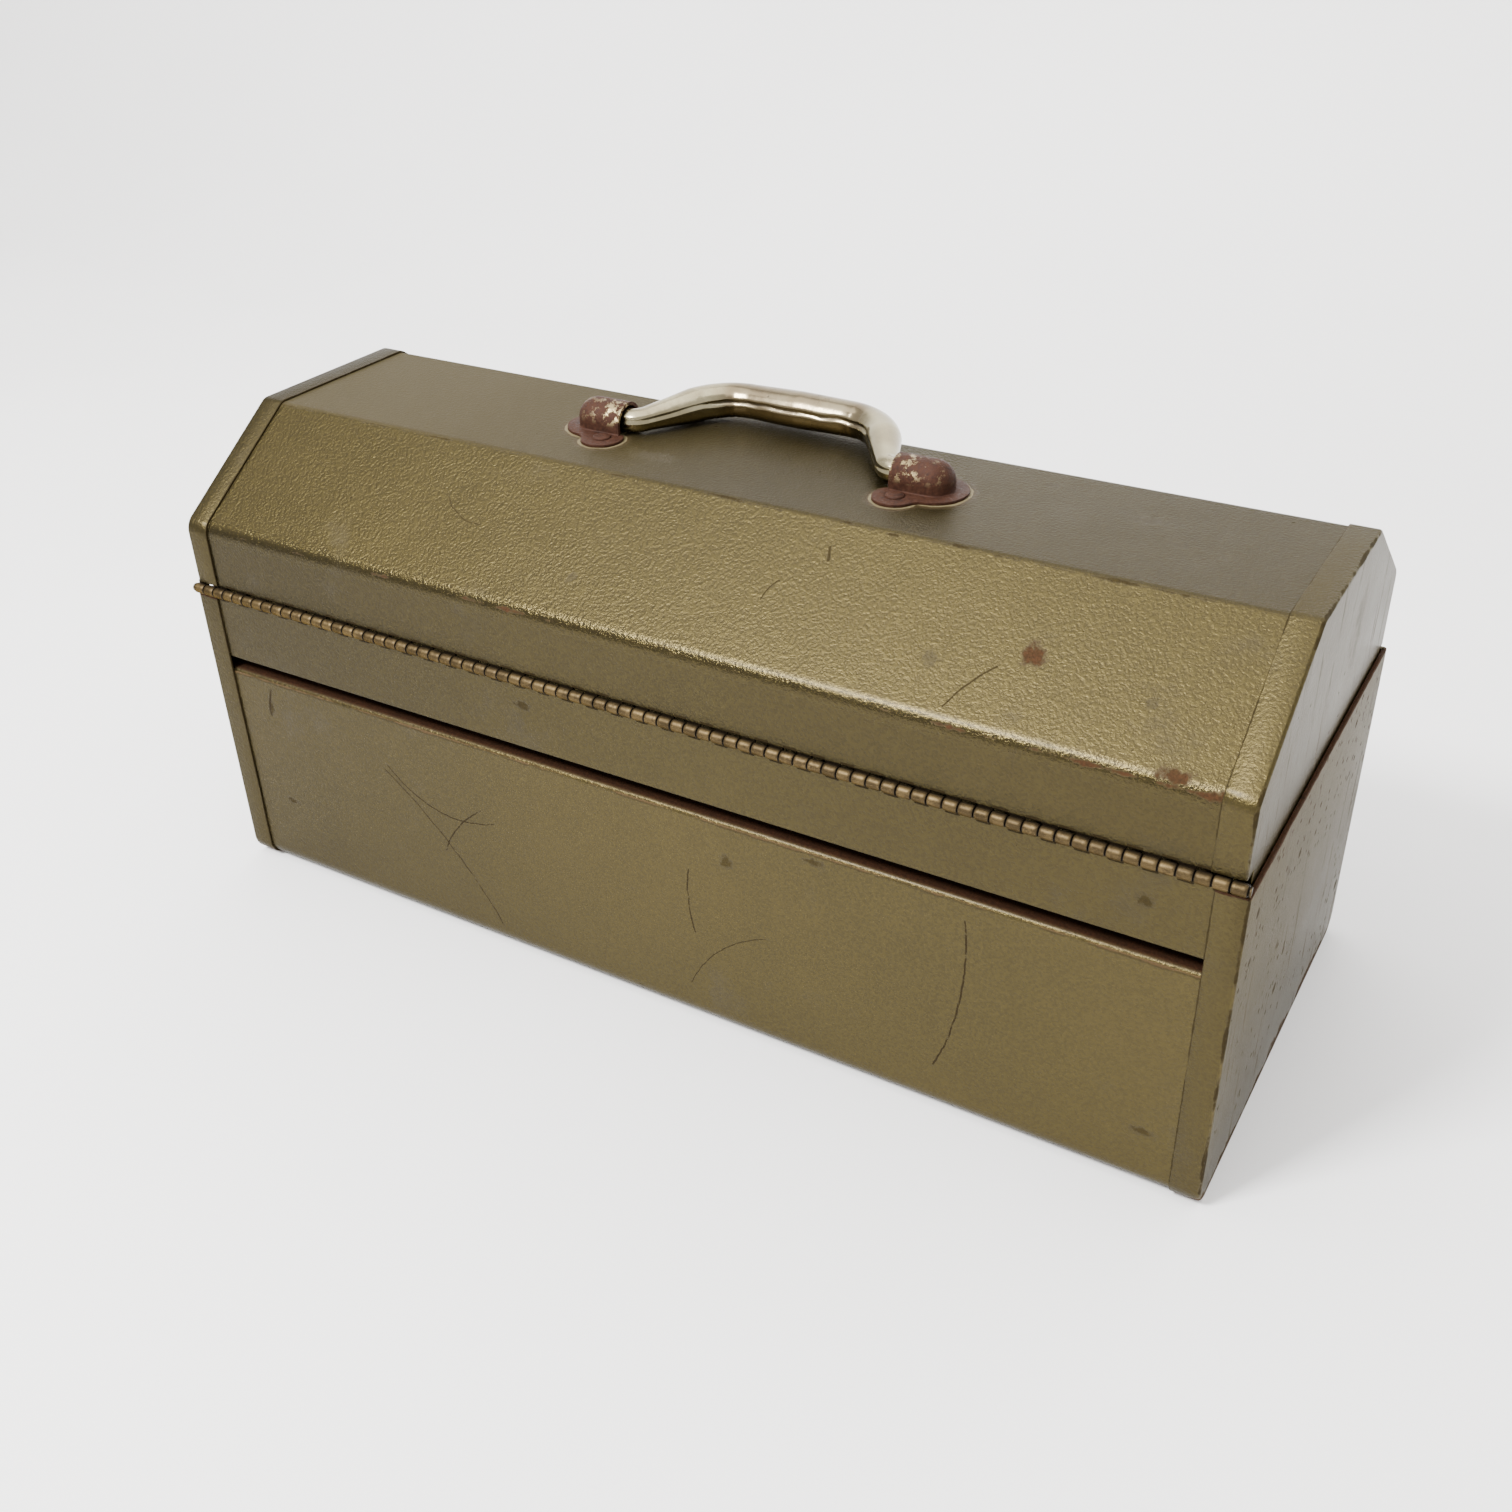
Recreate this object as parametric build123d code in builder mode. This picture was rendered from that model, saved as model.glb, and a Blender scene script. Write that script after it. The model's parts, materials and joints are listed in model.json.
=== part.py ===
from build123d import *
import math
import os

# A hip-roof steel tool box with a lift-out tray. Millimetres: X runs along the box,
# -Y is its front, the hinge is on the +Y side, +Z is up and Z = 0 is what it stands on.

# The box
LENGTH = 508.0            # over the two end caps
WIDTH = 207.0             # over the flanges of the end caps, front to back
BODY_HEIGHT = 152.0       # to the rim
LID_WALL = 36.3           # from the rim to where the lid's walls turn into its slopes
ROOF_RISE = 41.7          # from there to the lid's flat top
ROOF_WIDTH = 85.2         # the flat top, front to back
SHEET = 0.9               # gauge of the body and the lid
FLANGE = 12.5             # how far the end caps fold back over the wrapped sheets
BODY_CORNER = 10.0        # outer radius of the body's two bottom folds
EAVE_RADIUS = 8.0         # outer radius of the fold at the eave
ROOF_RADIUS = 5.0         # outer radius of the fold beside the flat top
CAP_RADIUS = 1.5          # outer radius of an end cap's own folds
HEM = 7.0                 # height of a folded-over edge
FIT = 0.3                 # clearance between pieces that only pass each other
OVERCUT = 1.0             # how far a cut runs past the face that it opens

# The grooves folded into the front and back walls, which make the ledges for the tray
GROOVE_DROP = 32.0        # upper edge below the rim
GROOVE_HEIGHT = 6.3
GROOVE_DEPTH = 10.0
GROOVE_EDGE = 0.1         # inside radius of the sharp upper fold
GROOVE_CREASE = 0.5       # radii inside the groove
GROOVE_LIP = 3.0          # radius of the rounded lower fold

# The lid's overlap with the body
LID_INSET = 2.2           # lid end panel inside the body's end face
LID_GAP_FRONT = 1.4       # lid's front edge above the rim
LID_GAP_BACK = 6.7        # lid's back edge above the rim, room for the hinge
TONGUE = 8.0              # how far the lid's end panels reach down inside the body
TONGUE_SETBACK_FRONT = 4.0
TONGUE_SETBACK_BACK = 6.5

# The piano hinge
HINGE_HEIGHT = 3.5        # axis above the rim
HINGE_OUTSET = 0.4        # axis outside the flange face
BARREL_RADIUS = 2.6
PIN_RADIUS = 1.2
PIN_RUNNING_FIT = 0.05
PIN_HEAD = 0.8
KNUCKLES = 80
KNUCKLE_GAP = 0.3
LEAF = 0.9                # thickness of the hinge leaves
LEAF_DEPTH = 18.0         # height of each leaf on its wall
LEAF_RISE = 1.0           # body leaf's plate above the rim, under the knuckles

# The carrying handle, a bowed tube that lies on the roof
HANDLE_END_GAP = 0.85     # the tube's ends above the roof
HANDLE_REST_GAP = 0.55    # the grip above the roof when the handle lies down
HANDLE_REACH = 38.3       # pivot axis to the middle of the grip
HANDLE_KNEE = 61.9        # half distance between the corners at the pivots
HANDLE_SHOULDER = 40.2    # half distance between the corners at the grip
KNEE_RADIUS = 6.5
SHOULDER_RADIUS = 19.5
STUB_RADIUS = 5.25        # tube at the pivots
ARM_RADIUS = 7.8          # tube at the shoulders
GRIP_RADIUS = 8.35
HANDLE_WALL = 1.2
HANDLE_TAIL = 1.0         # tube's end beyond the middle of the dome's rounded end

# The brackets that hold the handle down
BRACKET_SHEET = 1.2
BRACKET_GAP = 5.1         # mouth of the dome beyond the handle's corner
DOME_LENGTH = 16.6        # mouth to the centre of the rounded end
DOME_SLACK = 2.15         # the dome is this much wider than the tube's end
DOME_DROP = 1.2           # the arch's centre below the pivot axis
DOME_WALL = 1.5
DOME_FOOT = 0.7           # radius of the flare round the foot of the dome
EAR_SETBACK = 5.6         # rivet behind the mouth
EAR_GAP = 0.1             # rivet head beside the dome's flare
EAR_RADIUS = 9.6
TAIL_MARGIN = 5.7         # flange beyond the dome's rounded end
NECK_RADIUS = 6.0         # hollow between an ear and the tail

# Rivets: head radius, head height, shank radius, thickness of the closed end
BRACKET_RIVET = (4.1, 1.9, 2.0, 1.2)
SMALL_RIVET = (2.6, 1.3, 1.5, 0.8)
RIVET_HOLE_DEPTH = 8.0
RIVET_EDGE = 5.5          # small rivets from the edges of their plates

# The front catches
CATCH_X = 150.0
CATCH_PLATE = 1.2         # gauge of the plates riveted on the front
PLATE_CORNER = 2.5
CATCH_WIDTH = 30.0
CATCH_HEIGHT = 26.0
CATCH_RIM_GAP = 4.0       # top of the catch base below the rim
CATCH_AXIS_DROP = 10.0    # lever axis below the rim
CATCH_BARREL = 2.8
BARREL_SINK = 0.2         # how deep the barrel runs into its plate
CATCH_PIN = 1.5
LEVER_SHEET = 1.4
LEVER_LENGTH = 40.0
LEVER_WIDTH = 26.0
LEVER_NECK = 10.0         # the lever's knuckle is this much narrower than the lever
LEVER_SHOULDER = 1.0      # its wide part below the barrel
LEVER_CORNER = 4.0
LEVER_HOOK = 3.4
STRIKE_WIDTH = 24.0
STRIKE_FOOT = 8.0         # foot of the strike above the rim
STRIKE_LIP = 2.4

# The hasp for a padlock
STAPLE_WIDTH = 24.0
STAPLE_FOOT_HEIGHT = 24.0
STAPLE_RIM_GAP = 4.0
BLADE = 2.2
BLADE_GAP = 1.7           # blade's inner edge in front of the body's wall
BLADE_OUT = 9.3           # blade's outer edge in front of the body's wall
EYE_RADIUS = 2.6
EYE_HEIGHT = 9.0          # padlock eye above the rim
BLADE_TOP = 14.0          # blade's top above the rim
BLADE_MARGIN = 2.0        # blade's root inside the edges of the foot
BLADE_CORNER = 3.0
TAB_FOOT = 3.0            # underside of the forked tab above the rim
TAB_RISE = 15.0
TAB_WIDTH = 16.0
TAB_OUT = 7.9
TAB_SLOT_GAP = 0.7        # between the blade and each side of the fork

# The lift-out tray
TRAY_SHEET = 0.8
TRAY_END_CLEARANCE = 7.0  # tray end inside the body's end face
TRAY_SIDE_CLEARANCE = 6.2  # tray wall inside the body's outer faces
TRAY_LEDGE_GAP = 0.2
TRAY_HEIGHT = 40.0
TRAY_CORNER = 4.0
TRAY_HEM = 5.0
TRAY_FLANGE = 9.0
DIVIDER_X = 62.0
DIVIDER_HEIGHT = 28.0
STRAP = 2.0
STRAP_WIDTH = 22.0
STRAP_HEADROOM = 24.0     # top of the tray's own handle under the roof
STRAP_FOOT = 7.0
STRAP_RADIUS = 14.0
STRAP_RIVET_HEIGHT = 19.0

# Sizes that follow from those above
EAVE_HEIGHT = BODY_HEIGHT + LID_WALL
ROOF_HEIGHT = EAVE_HEIGHT + ROOF_RISE
GROOVE_TOP = BODY_HEIGHT - GROOVE_DROP
HALF_LENGTH = LENGTH / 2
HALF_WIDTH = WIDTH / 2
WALL = HALF_WIDTH - SHEET                 # outer faces of the wrapped sheets
WALL_INSIDE = WALL - SHEET
CAP_INSIDE = HALF_LENGTH - SHEET          # inner faces of the body's end panels
LEDGE = GROOVE_TOP + SHEET                # what the tray stands on
LID_HALF = HALF_LENGTH - LID_INSET        # outer faces of the lid's end panels
LID_CAP_INSIDE = LID_HALF - SHEET
LID_FRONT = BODY_HEIGHT + LID_GAP_FRONT
LID_BACK = BODY_HEIGHT + LID_GAP_BACK
TONGUE_FRONT = WALL_INSIDE - TONGUE_SETBACK_FRONT
TONGUE_BACK = WALL_INSIDE - TONGUE_SETBACK_BACK
AXIS_Y = HALF_WIDTH + HINGE_OUTSET
AXIS_Z = BODY_HEIGHT + HINGE_HEIGHT
LEAF_FACE = WALL_INSIDE - LEAF
PIVOT_RISE = STUB_RADIUS + HANDLE_END_GAP
PIVOT_Z = ROOF_HEIGHT + PIVOT_RISE
HANDLE_TILT = math.degrees(
    math.asin((GRIP_RADIUS + HANDLE_REST_GAP - PIVOT_RISE) / HANDLE_REACH)
)
DOME_INSIDE = STUB_RADIUS + DOME_SLACK
DOME_OUTSIDE = DOME_INSIDE + DOME_WALL
BRACKET_MOUTH = HANDLE_KNEE + BRACKET_GAP
BRACKET_HUB = BRACKET_MOUTH + DOME_LENGTH
EAR_X = BRACKET_MOUTH + EAR_SETBACK
EAR_Y = DOME_OUTSIDE + DOME_FOOT + EAR_GAP + BRACKET_RIVET[0]
TAIL_RADIUS = DOME_OUTSIDE + TAIL_MARGIN
TRAY_BASE = LEDGE + TRAY_LEDGE_GAP
TRAY_HALF_LENGTH = HALF_LENGTH - TRAY_END_CLEARANCE
TRAY_HALF_WIDTH = HALF_WIDTH - TRAY_SIDE_CLEARANCE
TRAY_RIM = TRAY_BASE + TRAY_HEIGHT
CATCH_FACE = WALL + CATCH_PLATE
CATCH_AXIS_Y = CATCH_FACE + CATCH_BARREL - BARREL_SINK
CATCH_AXIS_Z = BODY_HEIGHT - CATCH_AXIS_DROP

FRONT = Plane.XZ.offset(WALL)             # the front wall's outer face, seen from outside
ON_PLATE = FRONT.offset(CATCH_PLATE)      # the plates riveted on it
ROOF = Plane.XY.offset(ROOF_HEIGHT)
FROM_TOP = (Align.CENTER, Align.CENTER, Align.MAX)
FROM_BASE = (Align.CENTER, Align.CENTER, Align.MIN)


def rivet(size, grip):
    """One round-head rivet along Z, its head on Z = 0 and its closed end under the grip."""
    head, rise, shank, tail = size
    swell, closed = 1.6 * shank, 1.4 * shank
    with BuildPart() as one:
        with BuildSketch(Plane.XZ):
            with BuildLine():
                TangentArc((0, rise), (head, 0), tangent=(1, 0))
                Polyline(
                    (head, 0),
                    (shank, 0),
                    (shank, -grip),
                    (swell, -grip),
                    (closed, -grip - tail),
                    (0, -grip - tail),
                    (0, rise),
                )
            make_face()
        revolve(axis=Axis.Z)
    return one.part


def rivets(size, grip, plane, places):
    """A group of equal rivets whose heads stand on the plane."""
    with BuildPart() as group:
        with Locations(*[plane.location * Location((u, v, 0)) for u, v in places]):
            add(rivet(size, grip))
    return group


def drill(size, plane, places):
    """Holes for such a group, through whatever the part has behind the plane."""
    with Locations(*[plane.location * Location((u, v, OVERCUT)) for u, v in places]):
        Cylinder(size[2], RIVET_HOLE_DEPTH, align=FROM_TOP, mode=Mode.SUBTRACT)


def mirrored(part):
    """The piece's twin at the other end of the box."""
    with BuildPart() as twin:
        mirror(part, about=Plane.YZ)
    return twin


def folded(points, radii, sheet):
    """Section of a folded sheet: the line through its outer face and one sheet inwards."""
    with BuildSketch() as section:
        with BuildLine():
            line = FilletPolyline(*points, radius=radii)
            offset(line, amount=sheet, side=Side.LEFT)
        make_face()
    return section.sketch


def box_between(low, high, mode=Mode.ADD):
    """A box in the part being built, from its lowest corner to its highest."""
    size = [b - a for a, b in zip(low, high)]
    middle = [(a + b) / 2 for a, b in zip(low, high)]
    with Locations(tuple(middle)):
        Box(*size, mode=mode)


def front_plate(x, width, foot, top):
    """A plate with rounded corners on the front wall's outer face."""
    with BuildPart() as plate:
        with BuildSketch(FRONT):
            with Locations((x, (foot + top) / 2)):
                RectangleRounded(width, top - foot, PLATE_CORNER)
        extrude(amount=CATCH_PLATE)
    return plate.part


# ---- Body -----------------------------------------------------------------------------


def groove_line(side):
    """The wall's outer line from the groove's upper fold to its lower one."""
    return [
        (side * WALL, GROOVE_TOP),
        (side * (WALL - GROOVE_DEPTH), GROOVE_TOP),
        (side * (WALL - GROOVE_DEPTH), GROOVE_TOP - GROOVE_HEIGHT),
        (side * WALL, GROOVE_TOP - GROOVE_HEIGHT),
    ]


def make_body_wrap():
    """Front wall, bottom and back wall in one folded sheet."""
    groove_radii = [SHEET + GROOVE_EDGE, GROOVE_CREASE, GROOVE_CREASE, GROOVE_LIP]
    corner = BODY_CORNER - SHEET
    line = [(-WALL, BODY_HEIGHT)] + groove_line(-1) + [(-WALL, SHEET), (WALL, SHEET)]
    line += groove_line(1)[::-1] + [(WALL, BODY_HEIGHT)]
    radii = groove_radii + [corner, corner] + groove_radii[::-1]
    with BuildPart() as wrap:
        with BuildSketch(Plane.YZ.offset(-CAP_INSIDE)):
            add(folded(line, radii, SHEET))
        extrude(amount=2 * CAP_INSIDE)
        hem_end = CAP_INSIDE - SHEET - FIT
        box_between(
            (-hem_end, -WALL_INSIDE, BODY_HEIGHT - HEM),
            (hem_end, -WALL_INSIDE + SHEET, BODY_HEIGHT),
        )
        for side in (-1, 1):
            drill(SMALL_RIVET, FRONT, catch_rivet_places(side))
        drill(SMALL_RIVET, FRONT, staple_rivet_places())
    return wrap


def body_outline(inset):
    """The end cap's outline or, one sheet in, the outline of what it folds over."""
    with BuildSketch() as outline:
        with Locations((0, inset)):
            half = HALF_WIDTH - inset
            Rectangle(2 * half, BODY_HEIGHT - inset, align=(Align.CENTER, Align.MIN))
        bottom = outline.vertices().group_by(Axis.Y)[0]
        fillet(bottom, radius=BODY_CORNER - inset)
    return outline.sketch


def make_body_end():
    """End cap of the body at +X: a panel whose flanges fold over the wrapped sheet."""
    with BuildPart() as cap:
        with BuildSketch(Plane.YZ.offset(HALF_LENGTH - FLANGE)):
            add(body_outline(0))
        extrude(amount=FLANGE)
        outer_face = cap.faces().sort_by(Axis.X)[-1]
        folds = outer_face.edges().sort_by(Axis.Z)[:-1]
        fillet(folds, radius=CAP_RADIUS)
        with BuildSketch(Plane.YZ.offset(HALF_LENGTH - FLANGE)):
            add(body_outline(SHEET))
        extrude(amount=FLANGE - SHEET, mode=Mode.SUBTRACT)
        hem_side = WALL_INSIDE - SHEET - FIT
        box_between(
            (CAP_INSIDE - SHEET, -hem_side, BODY_HEIGHT - HEM),
            (CAP_INSIDE, hem_side, BODY_HEIGHT),
        )
    return cap


# ---- Lid ------------------------------------------------------------------------------


def roof_line():
    """The lid sheet's outer line, from its front edge over the roof to its back edge."""
    return [
        (WALL, LID_BACK),
        (WALL, EAVE_HEIGHT),
        (ROOF_WIDTH / 2, ROOF_HEIGHT),
        (-ROOF_WIDTH / 2, ROOF_HEIGHT),
        (-WALL, EAVE_HEIGHT),
        (-WALL, LID_FRONT),
    ]


def make_lid_wrap():
    """Walls, slopes and flat top of the lid in one folded sheet."""
    radii = [EAVE_RADIUS, ROOF_RADIUS, ROOF_RADIUS, EAVE_RADIUS]
    with BuildPart() as wrap:
        with BuildSketch(Plane.YZ.offset(-LID_CAP_INSIDE)):
            add(folded(roof_line(), radii, SHEET))
        extrude(amount=2 * LID_CAP_INSIDE)
        hem_end = LID_CAP_INSIDE - FIT
        box_between(
            (-hem_end, -WALL_INSIDE, LID_FRONT),
            (hem_end, -WALL_INSIDE + SHEET, LID_FRONT + HEM),
        )
        for side in (-1, 1):
            drill(SMALL_RIVET, FRONT, strike_rivet_places(side))
            drill(BRACKET_RIVET, ROOF, bracket_rivet_places(side))
        drill(SMALL_RIVET, FRONT, tab_rivet_places())
    return wrap


def lid_outline(grow):
    """The gable of the lid, over its flanges when grown by one sheet."""
    line = roof_line()
    with BuildSketch() as outline:
        with BuildLine():
            FilletPolyline(*line, radius=[EAVE_RADIUS, ROOF_RADIUS, ROOF_RADIUS, EAVE_RADIUS])
            Polyline(line[-1], (-WALL, 0), (WALL, 0), line[0])
        make_face()
        if grow:
            offset(amount=grow)
        Rectangle(2 * WIDTH, 2 * LID_FRONT, mode=Mode.SUBTRACT)
        with Locations((TONGUE_BACK, 0)):
            Rectangle(
                WIDTH, 2 * LID_BACK, align=(Align.MIN, Align.CENTER), mode=Mode.SUBTRACT
            )
    return outline.sketch


def make_lid_end():
    """End cap of the lid at +X, with a tongue that drops inside the body's end."""
    with BuildPart() as cap:
        with BuildSketch(Plane.YZ.offset(LID_HALF - FLANGE)):
            add(lid_outline(SHEET))
        extrude(amount=FLANGE)
        outer_face = cap.faces().sort_by(Axis.X)[-1]
        folds = [e for e in outer_face.edges() if e.center().Z > LID_BACK + OVERCUT]
        fillet(folds, radius=CAP_RADIUS)
        with BuildSketch(Plane.YZ.offset(LID_HALF - FLANGE)):
            add(lid_outline(0))
            Rectangle(2 * WALL, 2 * LID_BACK)
        extrude(amount=FLANGE - SHEET, mode=Mode.SUBTRACT)
        box_between(
            (LID_CAP_INSIDE, -TONGUE_FRONT, BODY_HEIGHT - TONGUE),
            (LID_HALF, TONGUE_BACK, LID_FRONT + SHEET),
        )
    return cap


# ---- Piano hinge ----------------------------------------------------------------------

KNUCKLE_PITCH = 2 * (HALF_LENGTH - PIN_HEAD) / KNUCKLES


def knuckle_places(first):
    """Every second knuckle's middle along X."""
    start = -HALF_LENGTH + PIN_HEAD + KNUCKLE_PITCH / 2
    return [start + KNUCKLE_PITCH * k for k in range(first, KNUCKLES, 2)]


def make_hinge_leaf(first, half_length, plate_low, plate_high, web_low, web_high):
    """A leaf with every second knuckle of the barrel."""
    width = KNUCKLE_PITCH - KNUCKLE_GAP
    with BuildPart() as leaf:
        box_between((-half_length, LEAF_FACE, plate_low), (half_length, WALL_INSIDE, plate_high))
        for x in knuckle_places(first):
            low, high = max(x - width / 2, -half_length), min(x + width / 2, half_length)
            box_between((low, LEAF_FACE, web_low), (high, WALL_INSIDE, web_high))
        with Locations(*[(x, AXIS_Y, AXIS_Z) for x in knuckle_places(first)]):
            Cylinder(BARREL_RADIUS, width, rotation=(0, 90, 0))
        with Locations((0, AXIS_Y, AXIS_Z)):
            Cylinder(PIN_RADIUS + PIN_RUNNING_FIT, LENGTH, rotation=(0, 90, 0), mode=Mode.SUBTRACT)
    return leaf


def make_hinge_pin():
    """The pin through all the knuckles, peened over at both ends."""
    with BuildPart() as pin:
        with Locations((0, AXIS_Y, AXIS_Z)):
            Cylinder(PIN_RADIUS, LENGTH - PIN_HEAD, rotation=(0, 90, 0))
        for side in (-1, 1):
            with Locations((side * (HALF_LENGTH - PIN_HEAD / 2), AXIS_Y, AXIS_Z)):
                Cylinder(PIN_RADIUS * 1.6, PIN_HEAD - KNUCKLE_GAP / 2, rotation=(0, 90, 0))
    return pin


# ---- Carrying handle and its brackets -------------------------------------------------


def handle_tube(inset):
    """Half of the bowed tube at +X, its skin moved in by the inset."""
    lean = math.atan2(HANDLE_REACH, HANDLE_KNEE - HANDLE_SHOULDER)
    knee_run = KNEE_RADIUS * math.tan(lean / 2)
    shoulder_run = SHOULDER_RADIUS * math.tan(lean / 2)
    along = Vector(-math.cos(lean), -math.sin(lean))
    knee, shoulder = Vector(HANDLE_KNEE, 0), Vector(HANDLE_SHOULDER, -HANDLE_REACH)
    knee_in, knee_out = knee + Vector(knee_run, 0), knee + along * knee_run
    bend_in, bend_out = shoulder - along * shoulder_run, shoulder - Vector(shoulder_run, 0)
    stub_end = Vector(BRACKET_HUB + HANDLE_TAIL, 0)
    stub, arm, grip = STUB_RADIUS - inset, ARM_RADIUS - inset, GRIP_RADIUS - inset
    with BuildPart() as half:
        with BuildSketch(Plane(stub_end, x_dir=(0, 1, 0), z_dir=(-1, 0, 0))):
            Circle(stub)
        extrude(amount=(stub_end - knee_in).length)
        with BuildLine():
            knee_arc = TangentArc(knee_in, knee_out, tangent=(-1, 0))
        with BuildSketch(Plane(knee_in, x_dir=(0, 1, 0), z_dir=(-1, 0, 0))):
            Circle(stub)
        sweep(path=knee_arc)
        with BuildSketch(Plane(knee_out, x_dir=(0, 0, 1), z_dir=along)):
            Circle(stub)
        with BuildSketch(Plane(bend_in, x_dir=(0, 0, 1), z_dir=along)):
            Circle(arm)
        loft()
        with BuildLine():
            shoulder_arc = TangentArc(bend_in, bend_out, tangent=along)
        with BuildSketch(Plane(bend_in, x_dir=(0, 0, 1), z_dir=along)):
            Circle(arm)
        sweep(path=shoulder_arc)
        with BuildSketch(Plane(bend_out, x_dir=(0, 0, 1), z_dir=(-1, 0, 0))):
            Circle(arm)
        with BuildSketch(Plane((0, -HANDLE_REACH), x_dir=(0, 0, 1), z_dir=(-1, 0, 0))):
            Circle(grip)
        loft()
    return half.part


def make_handle():
    """The whole tube, hollow and open at both ends, laid forward on the roof."""
    with BuildPart() as flat:
        add(handle_tube(0))
        mirror(about=Plane.YZ)
        add(handle_tube(HANDLE_WALL), mode=Mode.SUBTRACT)
        add(mirrored(handle_tube(HANDLE_WALL)).part, mode=Mode.SUBTRACT)
    with BuildPart() as handle:
        with Locations(Location((0, 0, PIVOT_Z), (-HANDLE_TILT, 0, 0))):
            add(flat.part)
    return handle


def bracket_rivet_places(side):
    """The two riveted ears of one bracket."""
    return [(side * EAR_X, -EAR_Y), (side * EAR_X, EAR_Y)]


def dome(radius, start):
    """An arch over the handle's end, closed by a rounded end, in the part being built."""
    length = BRACKET_HUB - start
    middle = PIVOT_Z - DOME_DROP
    with Locations((start + length / 2, 0, middle)):
        Cylinder(radius, length, rotation=(0, 90, 0))
    box_between((start, -radius, ROOF_HEIGHT), (BRACKET_HUB, radius, middle))
    with Locations((BRACKET_HUB, 0, middle)):
        Sphere(radius)
    with Locations((BRACKET_HUB, 0, ROOF_HEIGHT)):
        Cylinder(radius, middle - ROOF_HEIGHT, align=FROM_BASE)


def make_bracket():
    """Pressed bracket at +X: a flange with two ears and a tail round a hollow dome."""
    with BuildPart() as hollow:
        dome(DOME_INSIDE, BRACKET_MOUTH - 2 * EAR_RADIUS)
    with BuildPart() as below:
        box_between((0, -HALF_WIDTH, 0), (HALF_LENGTH, HALF_WIDTH, ROOF_HEIGHT))
    with BuildPart() as bracket:
        with BuildSketch(ROOF) as flange:
            with Locations(*bracket_rivet_places(1)):
                Circle(EAR_RADIUS)
            with Locations((BRACKET_HUB, 0)):
                Circle(TAIL_RADIUS)
            with Locations(((BRACKET_MOUTH + BRACKET_HUB) / 2, 0)):
                Rectangle(BRACKET_HUB - BRACKET_MOUTH, 2 * EAR_Y)
            necks = [v for v in flange.vertices() if EAR_X < v.X < BRACKET_HUB + 1]
            fillet(necks, radius=NECK_RADIUS)
        extrude(amount=BRACKET_SHEET)
        dome(DOME_OUTSIDE, BRACKET_MOUTH)
        add(below.part, mode=Mode.SUBTRACT)
        top = ROOF_HEIGHT + BRACKET_SHEET
        foot = [
            e
            for e in bracket.edges()
            if abs(e.center().Z - top) < 0.01
            and abs(e.center().Y) < DOME_OUTSIDE + 0.1
            and e.center().X > BRACKET_MOUTH + 0.1
            and e.center().X < BRACKET_HUB + DOME_OUTSIDE + 0.1
        ]
        fillet(foot, radius=DOME_FOOT)
        add(hollow.part, mode=Mode.SUBTRACT)
        drill(BRACKET_RIVET, ROOF.offset(BRACKET_SHEET), bracket_rivet_places(1))
    return bracket


# ---- Front catches and hasp -----------------------------------------------------------


def catch_rivet_places(side):
    """Rivets of one catch base on the front wall."""
    height = BODY_HEIGHT - CATCH_RIM_GAP - CATCH_HEIGHT + RIVET_EDGE
    reach = CATCH_WIDTH / 2 - RIVET_EDGE
    return [(side * CATCH_X + u, height) for u in (-reach, reach)]


def strike_rivet_places(side):
    """Rivets of one strike on the lid's front."""
    height = BODY_HEIGHT + STRIKE_FOOT + RIVET_EDGE
    reach = STRIKE_WIDTH / 2 - RIVET_EDGE
    return [(side * CATCH_X + u, height) for u in (-reach, reach)]


def staple_rivet_places():
    """Rivets of the padlock staple's foot."""
    top = BODY_HEIGHT - STAPLE_RIM_GAP
    reach = STAPLE_WIDTH / 2 - RIVET_EDGE
    heights = (top - RIVET_EDGE, top - STAPLE_FOOT_HEIGHT + RIVET_EDGE)
    return [(u, height) for u in (-reach, reach) for height in heights]


def tab_rivet_places():
    """Rivets of the forked tab."""
    height = BODY_HEIGHT + TAB_FOOT + TAB_RISE - RIVET_EDGE
    reach = STAPLE_WIDTH / 2 - RIVET_EDGE
    return [(-reach, height), (reach, height)]


def make_catch_base():
    """Base plate of the catch at +X, with the two outer knuckles of its lever."""
    top = BODY_HEIGHT - CATCH_RIM_GAP
    ear = (CATCH_WIDTH - LEVER_WIDTH + LEVER_NECK) / 2
    with BuildPart() as base:
        add(front_plate(CATCH_X, CATCH_WIDTH, top - CATCH_HEIGHT, top))
        for side in (-1, 1):
            x = CATCH_X + side * (CATCH_WIDTH - ear) / 2
            with Locations((x, -CATCH_AXIS_Y, CATCH_AXIS_Z)):
                Cylinder(CATCH_BARREL, ear, rotation=(0, 90, 0))
        with Locations((CATCH_X, -CATCH_AXIS_Y, CATCH_AXIS_Z)):
            bore = CATCH_PIN + PIN_RUNNING_FIT
            Cylinder(bore, CATCH_WIDTH, rotation=(0, 90, 0), mode=Mode.SUBTRACT)
        drill(SMALL_RIVET, ON_PLATE, catch_rivet_places(1))
    return base


def make_catch_pin():
    """The lever's pin, with a small head outside each knuckle."""
    with BuildPart() as pin:
        with Locations((CATCH_X, -CATCH_AXIS_Y, CATCH_AXIS_Z)):
            Cylinder(CATCH_PIN, CATCH_WIDTH + 2 * FIT, rotation=(0, 90, 0))
        for side in (-1, 1):
            x = CATCH_X + side * (CATCH_WIDTH / 2 + FIT + PIN_HEAD / 2)
            with Locations((x, -CATCH_AXIS_Y, CATCH_AXIS_Z)):
                Cylinder(CATCH_PIN * 1.5, PIN_HEAD, rotation=(0, 90, 0))
    return pin


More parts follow.
